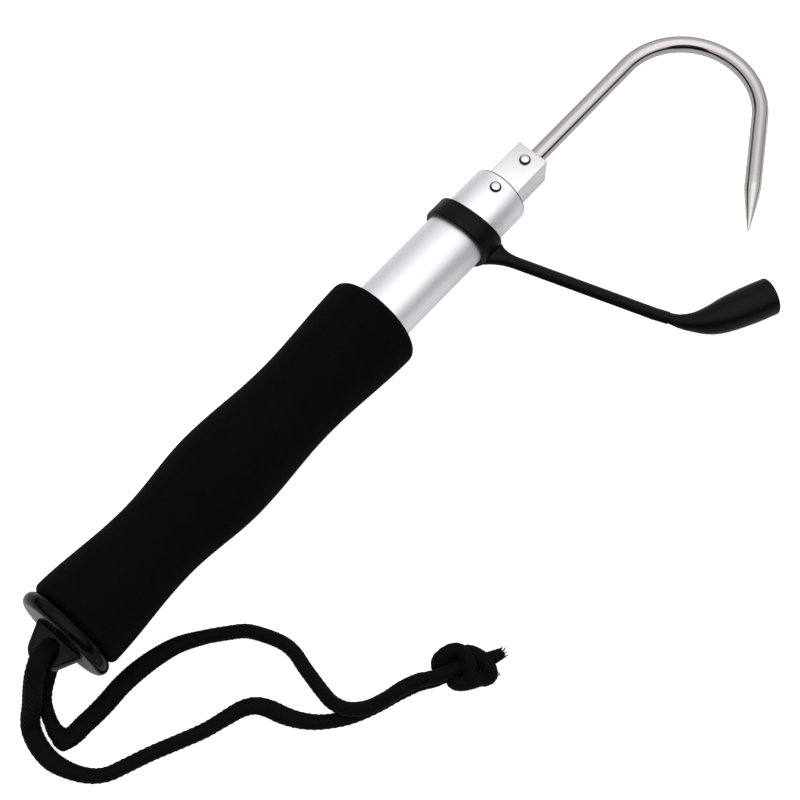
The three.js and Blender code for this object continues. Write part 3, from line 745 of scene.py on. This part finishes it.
def braidHeight(distance, angle):
    # height of the braid's skin, from 0 between yarns to 1 on a yarn's back
    along = cord["yarns"] * distance / cord["pitch"]
    around = cord["yarns"] * angle / tau
    first, second = along + around, along - around
    acrossFirst = sin(pi * (first % 1.0))
    acrossSecond = sin(pi * (second % 1.0))
    if (math.floor(first) + math.floor(second)) % 2:
        acrossFirst, acrossSecond = acrossSecond, acrossFirst
    return acrossFirst ** cord["roundAcross"] * acrossSecond ** cord["roundOver"]


def braidTube(
    bm, path, step=cord["step"], sides=cord["sides"],
    widthAt=lambda share: 1.0, press=lambda distance, centre, off: off,
):
    rings = max(3, round(path.length / mm / step))
    rows = [(path.length / mm * i / rings, i / rings) for i in range(rings + 1)]
    radius, relief = cord["diameter"] / 2, cord["relief"]

    def skin(row, angle):
        distance, share = row
        size = (radius - relief * (cord["level"] - braidHeight(distance, angle))) * widthAt(share)
        centre = path.at(distance * mm, 0, 0)
        return centre + press(distance, centre, path.at(distance * mm, angle, size * mm) - centre)
    wrapGrid(bm, rows, sides, skin)


# The braid is hollow and lies flatter and wider in places: (distance along the strand, width), and one
# strand has a sharp fold, whose outside stands out as a corner
outerSpread = [
    (0, 1.15), (4, 1.25), (8, 1.38), (20, 1.36), (42, 1.4), (50, 1.36), (58, 1.15), (66, 1.05),
    (105, 1.08), (118, 1.24), (126, 1.32), (134, 1.18), (142, 1.03), (400, 1),
]
innerSpread = [
    (0, 1.2), (5, 1.2), (10, 1), (26, 1), (30, 1.2), (36, 1.42), (64, 1.44), (72, 1.34), (80, 1.2),
    (88, 1.03), (400, 1),
]
fold = dict(spot=(-24.7, -18.4), corner=(-28.4, -20.1), reach=2.2, height=1.1)
# a wide part is thinner by a power of its width, and near the table its underside stays down
strandForm = dict(lying=2.4, spacing=0.5, thinPower=0.8, nearTable=5.0, nearFade=2.5, every=3)


def addStrand(name, route, node, spread, crease=None):
    spots = [(*point, strandForm["lying"])[:3] for point in route]
    points = [place(along, side, height - axisHeight) for along, side, height in spots]
    path = Path(points, strandForm["spacing"] * mm)
    radius = cord["diameter"] / 2 * mm
    flat = Vector((1, 1, 0))
    if crease:
        spot = place(*crease["spot"])
        outward = ((place(*crease["corner"]) - spot) * flat).normalized()

    def press(distance, centre, off):
        wide = easeThrough(spread, distance)
        thin = wide ** -strandForm["thinPower"]
        low = min(max((strandForm["nearTable"] - centre.z / mm) / strandForm["nearFade"], 0.0), 1.0)
        off = Vector((off.x * wide, off.y * wide, off.z * thin - (1 - thin) * radius * low))
        if crease:
            near = math.exp(-(((centre - spot) * flat).length / mm / crease["reach"]) ** 2)
            lean = max(off.dot(outward) / radius, 0.0)
            off = off + outward * (crease["height"] * mm * near * lean)
        return off
    bm = bmesh.new()
    braidTube(bm, path, press=press)
    piece = finishPiece(bm, name, [braidedCord], "braided_cord", "handle", [node], sharp=80)
    every = strandForm["every"]
    line = [path.spots[0], *path.spots[every:-every:every], path.spots[-1]]
    return piece, path, line


strandOuter, outerPath, outerLine = addStrand("strandOuter", outerRoute, "lanyard_strand_outer", outerSpread)
strandInner, innerPath, innerLine = addStrand(
    "strandInner", innerRoute, "lanyard_strand_inner", innerSpread, crease=fold,
)

# The knot, in millimetres from its middle: length to the tails, side and height, turned as it lies
knot = dict(
    turn=-44.5, away=12.9, side=4.45, height=5.3, step=0.4, sides=44, spacing=0.4, tailSpacing=0.3,
    taper=0.25, taperPower=3,
    wraps=[
        [(-7.5, -1.1, -2.6), (-8.2, 0.2, -0.6), (-7.8, 1.7, 1), (-5.4, 3.3, 2.2), (-2.6, 4, 2.6),
         (-0.2, 2.8, 2.9), (1.2, -0.1, 3), (1.6, -3.3, 2.6), (0.8, -5.6, 1), (-0.8, -5.7, -0.8),
         (-2.3, -4.1, -2.6)],
        [(-2.2, 3, -2.8), (-0.3, 3.8, -1), (1.9, 3.6, 0.6), (4.6, 1.9, 1.6), (6.6, -0.2, 1.8),
         (7.8, -2.9, 1.6), (7.8, -4.7, 0.8), (6.2, -5.3, -0.6), (3.9, -4.6, -2.2)],
        [(-1.8, -2.3, -2.8), (-3.5, -3.9, -2), (-3.8, -5.4, -0.6), (-2.1, -6.5, 0.4), (0.9, -6.4, 0.6),
         (4, -5.6, 0.6), (6.7, -4.1, -0.4), (7.5, -1.2, -2.4)],
        [(-6.2, 0.7, -2), (-3.5, 1.6, -1.4), (-0.9, 1.6, -1.2), (1.7, 0.8, -1)],
        [(-13.2, -4.4, -2.5), (-9.7, -3.8, -2.6), (-5.8, -2.4, -2.7), (-1.7, -1.3, -2.7),
         (2.6, -0.3, -2.6), (6.1, 0.9, -2.4), (8.3, 1.5, -2.2)],
        [(-13.3, -4.8, 2.3), (-9.8, -4.2, 2.2), (-6.7, -3.2, 1.9), (-3.6, -2.2, 1.2), (-0.7, -1.2, 0.4),
         (2.4, -0.7, -0.4)],
    ],
    tails=[
        dict(width=1.0, points=[
            (5.5, 0.8, -0.4), (7.6, 1, 0.2), (9.4, 1.4, 0.4), (11, 2, 0.5), (12.2, 2.5, 0.5),
        ]),
        dict(width=0.88, points=[(6.5, -0.9, -1), (8.1, -2.5, -1.2), (9.1, -3.8, -1.4)]),
    ],
)
# loose filaments fan out of the tails' cut ends; lengths, sway and thicknesses are what chance may change
fibre = dict(
    seed=7, count=46, within=0.7, sunk=0.6, fan=0.22, length=2.4, lengths=(0.35, 1.0), sway=0.3, curl=0.6,
    thickness=0.3, thicknesses=(0.7, 1.2), taper=0.7, overTable=0.3, spacing=0.4, steps=4, sides=5,
)


def addFibres(bm, path, width):
    within, sway, steps = cord["diameter"] / 2 * fibre["within"], fibre["sway"], fibre["steps"]
    for _ in range(fibre["count"]):
        angle, reach = random.uniform(0, tau), within * math.sqrt(random.random())
        start = path.at(path.length - fibre["sunk"] * mm, angle, reach * width * mm)
        way = (path.ways[-1] + (start - path.spots[-1]) * (fibre["fan"] / mm)).normalized()
        length = fibre["length"] * random.uniform(*fibre["lengths"])
        aside = Vector([random.uniform(-sway, sway) for _ in range(3)]) * fibre["curl"]
        line = [start, start + way * length * 0.5 * mm, start + (way + aside) * length * mm]
        if min(point.z for point in line) < fibre["overTable"] * mm:
            continue
        hair = Path(line, fibre["spacing"] * mm)
        rows = [(hair.length / mm * i / steps, 1 - fibre["taper"] * i / steps) for i in range(steps + 1)]
        thick = fibre["thickness"] * random.uniform(*fibre["thicknesses"]) / 2
        wrapGrid(bm, rows, fibre["sides"], lambda row, a: hair.at(row[0] * mm, a, thick * row[1] * mm))


def addKnot():
    turn = Matrix.Rotation(radians(knot["turn"]), 4, "Z")
    end = place(*outerRoute[-1][:2])
    middle = end + turn @ Vector((knot["away"] * mm, knot["side"] * mm, 0))
    middle.z = knot["height"] * mm

    def spot(point):
        return middle + turn @ (Vector(point) * mm)
    bm = bmesh.new()
    for points in knot["wraps"]:
        path = Path([spot(point) for point in points], knot["spacing"] * mm)
        braidTube(bm, path, step=knot["step"], sides=knot["sides"])
    random.seed(fibre["seed"])
    for tail in knot["tails"]:
        path = Path([spot(point) for point in tail["points"]], knot["tailSpacing"] * mm)
        width = tail["width"]
        braidTube(
            bm, path, step=knot["step"], sides=knot["sides"],
            widthAt=lambda share: width * (1 - knot["taper"] * share ** knot["taperPower"]),
        )
        addFibres(bm, path, width)
    return finishPiece(bm, "lanyardKnot", [braidedCord], "braided_cord", "handle", ["lanyard_knot"], sharp=80)


lanyardKnot = addKnot()
for strand, path, line in ((strandOuter, outerPath, outerLine), (strandInner, innerPath, innerLine)):
    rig.cord(
        strand, exit=line[0], length=path.length, diameter=cord["diameter"] * mm, far_end="knot",
        stiffness="limp", lay="loose", path=line, with_pieces=[lanyardKnot],
    )
print("lanyard: strands of", round(outerPath.length, 4), "and", round(innerPath.length, 4), "m")


# Tubes, guide bushes and head collar, all turned: (along, radius, edge rounding)
def sleeve(start, end, outer, bore, edge, boreEdge=0.15):
    return [(start, bore, boreEdge), (start, outer, edge), (end, outer, edge), (end, bore, boreEdge)]


turnedParts = [
    ("outerTube", "outer_tube", "handle", sleeve(tubeStart, 187.3, 11, 9.8, 0.3)),
    ("middleTube", "middle_tube", "middle_stage", sleeve(25.6, 187, 8.8, 7.7, 0.3)),
    ("innerTube", "inner_tube", "head_stage", sleeve(47.3, 206.6, 6.7, 5.7, 0.3)),
    ("headCollar", "head_cap", "head_stage", sleeve(187.6, 206.9, 10.75, 6.85, 0.6, 0.3)),
    ("outerBush", "outer_guide_bush", "handle", sleeve(174.7, 186.7, 9.65, 8.95, 0.1, 0.1)),
    ("middleBush", "middle_guide_bush", "middle_stage", sleeve(174.4, 186.4, 7.55, 6.85, 0.1, 0.1)),
]
for name, node, body, shape in turnedParts:
    plastic = name.endswith("Bush")
    turned = turnOutline(shape)
    if name == "headCollar":
        # painted shade: its turned front edge takes a dark metal, which stands in for the shadow in the crevice
        # against the block
        (_, _, _), (_, reach, edge), (front, _, _), _ = shape
        for face in turned.faces:
            off = (face.calc_center_median() - axisStart) / mm
            if off.x > front - edge and hypot(off.y, off.z) > reach - edge:
                face.material_index = 1
    finishPiece(
        turned, name, [guidePlastic] if plastic else [aluminium, paintedShadeMetal],
        "guide_plastic" if plastic else "anodised_aluminium", body, [node],
    )


# Foam grip: waists and crests at shares of its length, with rounded ends
foam = dict(
    start=0.3, length=142.6, bore=11.15, boreRound=0.5, rearRound=2.2, frontRound=3.0,
    # the curve stops at this many roundings from each end
    keepOff=1.2, steps=16,
    stations=[(0, 17.1), (0.26, 14.8), (0.475, 17.15), (0.715, 15.35), (1, 17.45)],
)


def foamOutline():
    start, length, stations = foam["start"], foam["length"], foam["stations"]
    end, rear, front = start + length, foam["rearRound"], foam["frontRound"]
    line = []
    for (share, radius), (nextShare, nextRadius) in zip(stations, stations[1:]):
        for i in range(foam["steps"]):
            t = i / foam["steps"]
            ease = (1 - cos(pi * t)) / 2
            along = start + length * (share + (nextShare - share) * t)
            line.append((along, radius + (nextRadius - radius) * ease))
    clear = [p for p in line if start + rear * foam["keepOff"] < p[0] < end - front * foam["keepOff"]]
    return [
        (start, foam["bore"]), (start, stations[0][1], rear), *clear,
        (end, stations[-1][1], front), (end, foam["bore"], foam["boreRound"]),
    ]


finishPiece(
    turnOutline(foamOutline(), sides=160, segments=8), "foamGrip", [gripFoam], "grip_foam", "handle",
    ["foam_grip"],
)


# Butt cap: a rim like a ring, a flat face, the plug inside the tube and the lug for the lanyard
cap = dict(
    rim=5.3, rimFlat=0.02, radius=17.45,
    plug=15.6, plugRadius=9.65, plugEdge=0.3, plugBore=7.65, floor=2,
    lugHalf=2.4, lugRoot=9.2, lugSunk=2.2, lugEnd=6.6, lugSteps=14, eyeBack=4.2, eyeRadius=2.85,
    # the lug's edges, which are those where faces turn by more than this many radians
    edge=0.45, edgeSteps=3, edgeTurn=1.2,
    fillet=0.5, filletSteps=6, filletSunk=0.5, filletInset=0.6,
)


def addCap():
    rim, plug, radius, root, end = take(cap, "rim", "plug", "radius", "lugRoot", "lugEnd")
    rimRound = rim / 2 - cap["rimFlat"]
    bm = turnOutline([
        (-rim, 0), (-rim, radius, rimRound), (0, radius, rimRound),
        (0, cap["plugRadius"]), (plug, cap["plugRadius"], cap["plugEdge"]), (plug, cap["plugBore"]),
        (cap["floor"], cap["plugBore"]), (cap["floor"], 0),
    ], close=False, segments=10)
    eyeX, half, steps = -rim - cap["eyeBack"], cap["lugHalf"], cap["lugSteps"]
    # half of the lug's outline: from its root inside the rim, a straight edge and then the round end
    touch = math.atan2(root, cap["eyeBack"]) + math.acos(end / hypot(root, cap["eyeBack"]))
    arc = [(eyeX + end * cos(a), end * sin(a))
           for a in (touch + (pi - touch) * i / steps for i in range(steps + 1))]
    rising = [(-rim + cap["lugSunk"], root), (-rim, root)] + arc[:-1]
    outline = rising + [(arc[-1][0], 0)] + [(x, -y) for x, y in reversed(rising)]
    corners = [bm.verts.new(place(x, y, -half)) for x, y in outline]
    loop = [bm.edges.new(pair) for pair in zip(corners, corners[1:] + corners[:1])]
    eye, wide = Matrix.Translation(place(eyeX, 0, -half)), cap["eyeRadius"] * mm
    hole = bmesh.ops.create_circle(bm, segments=40, radius=wide, matrix=eye)["verts"]
    rims = list({edge for vert in hole for edge in vert.link_edges})
    sheet = bmesh.ops.triangle_fill(bm, use_beauty=True, use_dissolve=False, edges=loop + rims)["geom"]
    faces = pick(sheet, "BMFace")
    made = bmesh.ops.extrude_face_region(bm, geom=faces, use_keep_orig=True)["geom"]
    top = pick(made, "BMVert")
    bmesh.ops.translate(bm, verts=top, vec=(0, 0, 2 * half * mm))
    flats = (set(corners + hole), set(top))
    levels = [edge for edge in bm.edges if any(flat.issuperset(edge.verts) for flat in flats)]
    sharp = [edge for edge in levels if edge.calc_face_angle(0) > cap["edgeTurn"]]
    roundEdges(bm, sharp, cap["edge"], cap["edgeSteps"])
    # a small hollow fillet where the lug stands on the flat face, above and below
    size, sunk, inset = cap["fillet"], cap["filletSunk"], cap["filletInset"]
    for sign in (1, -1):
        curve = [(-rim - size * (1 - sine), sign * (half + size * (1 - cosine)))
                 for cosine, sine in quarterTurn(cap["filletSteps"])]
        section = [*curve, (-rim + inset, sign * (half + size)), (-rim + inset, sign * (half - sunk)),
                   (-rim - size, sign * (half - sunk))]
        face = bm.faces.new([bm.verts.new(place(x, -root + inset, z)) for x, z in section])
        bar = bmesh.ops.extrude_face_region(bm, geom=[face], use_keep_orig=True)["geom"]
        bmesh.ops.translate(bm, verts=pick(bar, "BMVert"), vec=(0, 2 * (root - inset) * mm, 0))
    finishPiece(bm, "endCap", [capPlastic], "cap_plastic", "handle", ["end_cap"], sharp=40)


addCap()


# Hook block: a square bar with softened edges, a bore for the shank and a turned spigot
block = dict(
    start=207.2, length=16.7, width=12.6, edge=0.5, edgeSteps=4, bore=3.1, chamfer=0.25, boreDepth=13,
    spigot=12, spigotRadius=5.55, spigotEdge=0.4, overlap=0.5,
)


def addBlock():
    start, length, width, bore, chamfer = take(block, "start", "length", "width", "bore", "chamfer")
    end = start + length
    bm = bmesh.new()
    size = Matrix.Diagonal((length * mm, width * mm, width * mm, 1))
    bmesh.ops.create_cube(bm, size=1, matrix=Matrix.Translation(place(start + length / 2)) @ size)
    roundEdges(bm, list(bm.edges), block["edge"], block["edgeSteps"])
    front = max(bm.faces, key=lambda face: face.calc_center_median().x)
    rim = list(front.edges)
    bmesh.ops.delete(bm, geom=[front], context="FACES_ONLY")
    facing = Matrix.Translation(place(end)) @ Matrix.Rotation(pi / 2, 4, "Y")
    wide = (bore + chamfer) * mm
    ring = bmesh.ops.create_circle(bm, segments=48, radius=wide, matrix=facing)["verts"]
    mouth = list({edge for vert in ring for edge in vert.link_edges})
    bmesh.ops.bridge_loops(bm, edges=rim + mouth)
    for inward, scale in ((chamfer, bore / (bore + chamfer)), (block["boreDepth"], 1.0)):
        made = bmesh.ops.extrude_edge_only(bm, edges=mouth)["geom"]
        verts, mouth = pick(made, "BMVert"), pick(made, "BMEdge")
        bmesh.ops.scale(bm, verts=verts, vec=(1, scale, scale), space=Matrix.Translation(-place(end)))
        bmesh.ops.translate(bm, verts=verts, vec=(-inward * mm, 0, 0))
    bmesh.ops.holes_fill(bm, edges=mouth, sides=0)
    rear, inside, radius = start - block["spigot"], start + block["overlap"], block["spigotRadius"]
    spigot = turnOutline(
        [(rear, 0), (rear, radius, block["spigotEdge"]), (inside, radius), (inside, 0)],
        sides=72, close=False,
    )
    extra = bpy.data.meshes.new("spigot")
    spigot.to_mesh(extra)
    spigot.free()
    bm.from_mesh(extra)
    bpy.data.meshes.remove(extra)
    finishPiece(
        bm, "hookBlock", [blockAluminium], "anodised_aluminium", "head_stage", ["hook_block"], sharp=40,
    )


addBlock()

# Rivets: a domed head above and below on one shank
rivet = dict(headRadius=2.0, rim=0.22, dome=0.9, shank=1.2, domeSteps=14, paintedShadeShare=0.74, sunk=0.12)
rivets = [
    dict(name="collarRivet", along=202.3, seat=10.72, turn=4.6, node="cap_rivet"),
    dict(name="blockRivet", along=219.2, seat=6.3, turn=0, node="block_rivet"),
]


def addRivet(name, along, seat, turn, node):
    radius, foot, rise = rivet["headRadius"], seat - rivet["sunk"], seat + rivet["rim"]
    dome = [(rise + rivet["dome"] * sine, radius * cosine)
            for cosine, sine in quarterTurn(rivet["domeSteps"])[:-1]]
    half = [(foot, rivet["shank"]), (foot, radius), *dome, (rise + rivet["dome"], 0)]
    lower = [(-height, reach) for height, reach in reversed(half)]
    centre = place(along)
    bm = turnOutline(lower + half, sides=56, close=False, centre=centre, way=upward)
    # painted shade: the seam round each head takes a dark metal, which stands in for the shadow in the gap round it
    for face in bm.faces:
        off = face.calc_center_median() - centre
        if hypot(off.x, off.y) > radius * rivet["paintedShadeShare"] * mm:
            face.material_index = 1
    spin = Matrix.Rotation(radians(turn), 3, "X")
    bmesh.ops.rotate(bm, verts=bm.verts, cent=centre, matrix=spin)
    finishPiece(bm, name, [rivetSteel, paintedShadeMetal], "rivet_steel", "head_stage", [node], sharp=40)


for part in rivets:
    addRivet(**part)

# Hook: a straight shank, a round bend, a straight limb and a point ground flat on two sides
hook = dict(
    start=210.7, bendStart=276.0, bendRadius=26.15, bendAngle=148, limb=28.4, point=18.2, radius=2.95,
    pathSteps=360, spacing=0.4, sides=56, rings=300, pointRings=60, ringGap=0.3,
    pointShares=[(0, 1), (0.1, 0.95), (0.25, 0.83), (0.56, 0.54), (0.87, 0.22), (0.985, 0.07), (1, 0)],
    # each ground side: which way it faces round the wire, its length, and how far off the tip's line it lies
    grounds=[(86, 16.0, 0.15), (-90, 14.5, 0.15)],
    # the ground look's length, how many points' lengths the cuts reach, and its lines' stretch
    groundLength=20.9, cutReach=1.3, groundStretch=0.3,
)


def addHook():
    radius, bend, angle = hook["radius"], hook["bendRadius"], radians(hook["bendAngle"])
    shank, arc = hook["bendStart"] - hook["start"], bend * angle
    cone = hook["point"]
    total = shank + arc + hook["limb"] + cone

    def spot(distance):
        if distance < shank:
            return place(hook["start"] + distance)
        turned = min((distance - shank) / bend, angle)
        past = max(distance - shank - arc, 0)
        return place(
            hook["bendStart"] + bend * sin(turned) + past * cos(angle),
            bend * (cos(turned) - 1) - past * sin(angle),
        )
    steps, rings, coneRings, shares = take(hook, "pathSteps", "rings", "pointRings", "pointShares")
    spots = [spot(total * i / steps) for i in range(steps + 1)]
    path = Path(spots, hook["spacing"] * mm, steady=True, steps=2)
    coneStart = total - cone
    rows = [(total * i / rings, 1.0) for i in range(rings)]
    rows = [row for row in rows if row[0] < coneStart - hook["ringGap"]]
    rows += [(coneStart + cone * i / coneRings, easeThrough(shares, i / coneRings))
             for i in range(coneRings + 1)]
    bm = bmesh.new()
    wrapGrid(bm, rows, hook["sides"], lambda row, a: path.at(
        row[0] * mm, a - pi / 2, radius * row[1] * mm,
    ))
    tip = path.at(path.length, 0, 0)
    limb = path.ways[-1]
    side = limb.cross(upward)
    layer = bm.loops.layers.uv.verify()
    for facing, length, off in hook["grounds"]:
        a = radians(facing)
        out = side * cos(a) + upward * sin(a)
        normal = (out * length + limb * radius).normalized()
        near = {vert for vert in bm.verts if (vert.co - tip).length < hook["cutReach"] * cone * mm}
        parts = [item for item in list(bm.edges) + list(bm.faces) if near.issuperset(item.verts)]
        made = bmesh.ops.bisect_plane(
            bm, geom=list(near) + parts, dist=1e-7,
            plane_co=tip + out * off * mm, plane_no=normal, clear_outer=True,
        )["geom_cut"]
        cut = pick(made, "BMEdge")
        for face in bmesh.ops.holes_fill(bm, edges=cut, sides=0)["faces"]:
            face.material_index = 1
            for loop in face.loops:
                spread = (loop.vert.co - tip) / mm
                loop[layer].uv = (spread.dot(limb), spread.dot(side) * hook["groundStretch"])
    for face in bm.faces:
        if (face.calc_center_median() - tip).length < hook["groundLength"] * mm:
            face.material_index = 1
    finishPiece(bm, "hookWire", [hookSteel, groundSteel], "hook_steel", "head_stage", ["hook"], sharp=24)


addHook()

# Guard: a rubber ring round the tube's mouth, drawn forward on the strap's side
guardRing = dict(
    start=181.9, end=189.6, bore=11.1, boreEdge=0.2, radius=12.8, edge=0.6,
    # its skew sets in softly; the far side is lifted forward and the strap's side drawn, each by a power
    skew=0.15, soft=3, back=0.5, lift=0.95, liftPower=2, draw=1.4, drawPower=4,
)


def addGuardRing():
    start, end, radius, edge = take(guardRing, "start", "end", "radius", "edge")
    outline = sleeve(start, end, radius, guardRing["bore"], edge, guardRing["boreEdge"])
    bm = turnOutline(outline, segments=5)
    for vert in bm.verts:
        side = (vert.co.y - axisStart.y) / mm
        shift = guardRing["skew"] * (hypot(side, guardRing["soft"]) - side) / 2 - guardRing["back"]
        front = ((vert.co.x - axisStart.x) / mm - start) / (end - start)
        pull = guardRing["lift"] * (max(side, 0) / radius) ** guardRing["liftPower"]
        pull += guardRing["draw"] * front * (max(-side, 0) / radius) ** guardRing["drawPower"]
        vert.co.x += (shift + pull) * mm
    finishPiece(bm, "guardRing", [rubber], "guard_rubber", "guard_collar", ["guard_ring"])


addGuardRing()

# and its strap, webbed at the ring, which runs on into the cup for the point
guard = dict(
    root=(188.3, -12.5, -3.4), lean=22.0, length=62.81, pitch=6.81, sunk=1.9, bendClear=4.0,
    webLength=8.0, webHalf=4.7, webPower=2.4, half=2.38, thick=2.05, ridge=1.5, boxy=2.4,
    flare=0.2, flareLength=1.4, flarePower=2,
    neckRadius=25.0, neckTurn=43.7, neckShare=0.22, straight=18.9,
    cupRadius=6.6, lip=0.8, mouth=4.7, mouthEdge=0.4, socketEnd=3.1, socket=16.0,
    outline=[(0, 0.265), (0.1, 0.36), (0.22, 0.5), (0.36, 0.72), (0.5, 0.88), (0.64, 0.96), (0.8, 1), (1, 1)],
    sides=64, bendReach=8.0, stride=0.5, spacing=0.4,
    strapRings=150, cupRings=70, lipSteps=6, mouthSteps=4, socketSteps=8,
)


def addGuardStrap():
    heading = radians(guard["lean"] - 90)
    pitch = radians(guard["pitch"])
    way = Vector((cos(heading) * cos(pitch), sin(heading) * cos(pitch), -sin(pitch)))
    root = place(*guard["root"])
    straightTo = guard["length"] - guard["bendClear"]
    points = [root + way * mm * (-guard["sunk"] + i) for i in range(int(straightTo + guard["sunk"]) + 1)]
    hinge = root + way * guard["length"] * mm
    hinge.z = guard["cupRadius"] * mm
    bend, neck = guard["neckRadius"], guard["neckRadius"] * radians(guard["neckTurn"])
    cupLength, stride = neck + guard["straight"], guard["stride"]
    spot, travelled = hinge.copy(), 0.0
    while travelled < cupLength:
        if travelled >= guard["bendClear"]:
            points.append(spot.copy())
        direction = heading + min(travelled + stride / 2, neck) / bend
        spot = spot + Vector((cos(direction), sin(direction), 0)) * stride * mm
        travelled += stride
    points.append(spot.copy())
    path = Path(points, guard["spacing"] * mm, steady=True, steps=4)
    total = path.length / mm
    cupStart = total - cupLength
    lip, radius, mouth, edge, depth = take(guard, "lip", "cupRadius", "mouth", "mouthEdge", "socket")
    strapRings, cupRings, steps = take(guard, "strapRings", "cupRings", "socketSteps")
    rows = [(cupStart * i / strapRings, "strap") for i in range(strapRings)]
    rows += [(cupStart + (cupLength - lip) * i / cupRings, "cup") for i in range(cupRings + 1)]
    # from here on each row gives its radius: round the lip, over the mouth's edge and down the socket
    rows += [(total - lip + lip * sine, radius - lip + lip * cosine)
             for cosine, sine in quarterTurn(guard["lipSteps"])[1:]]
    rows += [(total - edge * (1 - cosine), mouth + edge - edge * sine)
             for cosine, sine in quarterTurn(guard["mouthSteps"])]
    rows += [(total - depth * i / steps, mouth + (guard["socketEnd"] - mouth) * i / steps)
             for i in range(1, steps + 1)]
    rows.append((total - depth, 0.0))
    ringSide = Vector((-1, 0, 0))

    def skin(row, angle):
        distance, kind = row
        angle -= pi / 2
        across, over = cos(angle), sin(angle)
        if kind not in ("strap", "cup"):
            return path.at(distance * mm, angle, kind * mm)
        centre = path.at(distance * mm, 0, 0)
        toSide = (path.at(distance * mm, 0, mm) - centre) / mm
        toUp = (path.at(distance * mm, pi / 2, mm) - centre) / mm
        power = guard["ridge"]
        half, thick = guard["half"], guard["thick"]
        if kind == "strap":
            fromRing = distance - guard["sunk"]
            left = max(0.0, 1 - max(fromRing, 0) / guard["webLength"])
            half += (guard["webHalf"] - half) * left ** guard["webPower"]
            close = max(0.0, 1 - max(fromRing, 0) / guard["flareLength"])
            close = close ** guard["flarePower"] * guard["flare"]
            half, thick = half + close, thick + close
            power += (guard["boxy"] - power) * left
            toSide = toSide.lerp(ringSide, left).normalized()
        else:
            share = (distance - cupStart) / cupLength
            size = radius * smoothShare(guard["outline"], share)
            blend = min(1.0, share / guard["neckShare"])
            half = size + (guard["half"] - guard["thick"]) * (1 - blend)
            thick = size
            power += (2.0 - power) * blend
        across = math.copysign(abs(across) ** (2 / power), across)
        over = math.copysign(abs(over) ** (2 / power), over)
        return centre + (toSide * across * half + toUp * over * thick) * mm
    bm = bmesh.new()
    wrapGrid(bm, rows, guard["sides"], skin)
    nodes = ["guard_strap", "guard_cup"]
    piece = finishPiece(bm, "guardStrap", [rubber], "guard_rubber", None, nodes, sharp=50)
    ahead = Vector((cos(heading), sin(heading), 0))
    reach = guard["bendReach"] * mm
    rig.blend(piece, "guard_arm", "guard_tip", start=hinge - way * reach, end=hinge + ahead * reach)


addGuardStrap()

# Parts that stay as the CAD made them
for name, material in (
    ("middle_tail_plug", guidePlastic), ("inner_tail_plug", guidePlastic),
    ("middle_friction_spring", springSteel), ("inner_friction_spring", springSteel),
):
    for materialSlot in frame["nodes"][name].material_slots:
        materialSlot.material = material

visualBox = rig.bounds()
with open("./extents.json", "w") as sizes:
    json.dump({"cad": [list(corner) for corner in cadBox], "visual": [list(corner) for corner in visualBox]}, sizes)
print("all pieces are made")
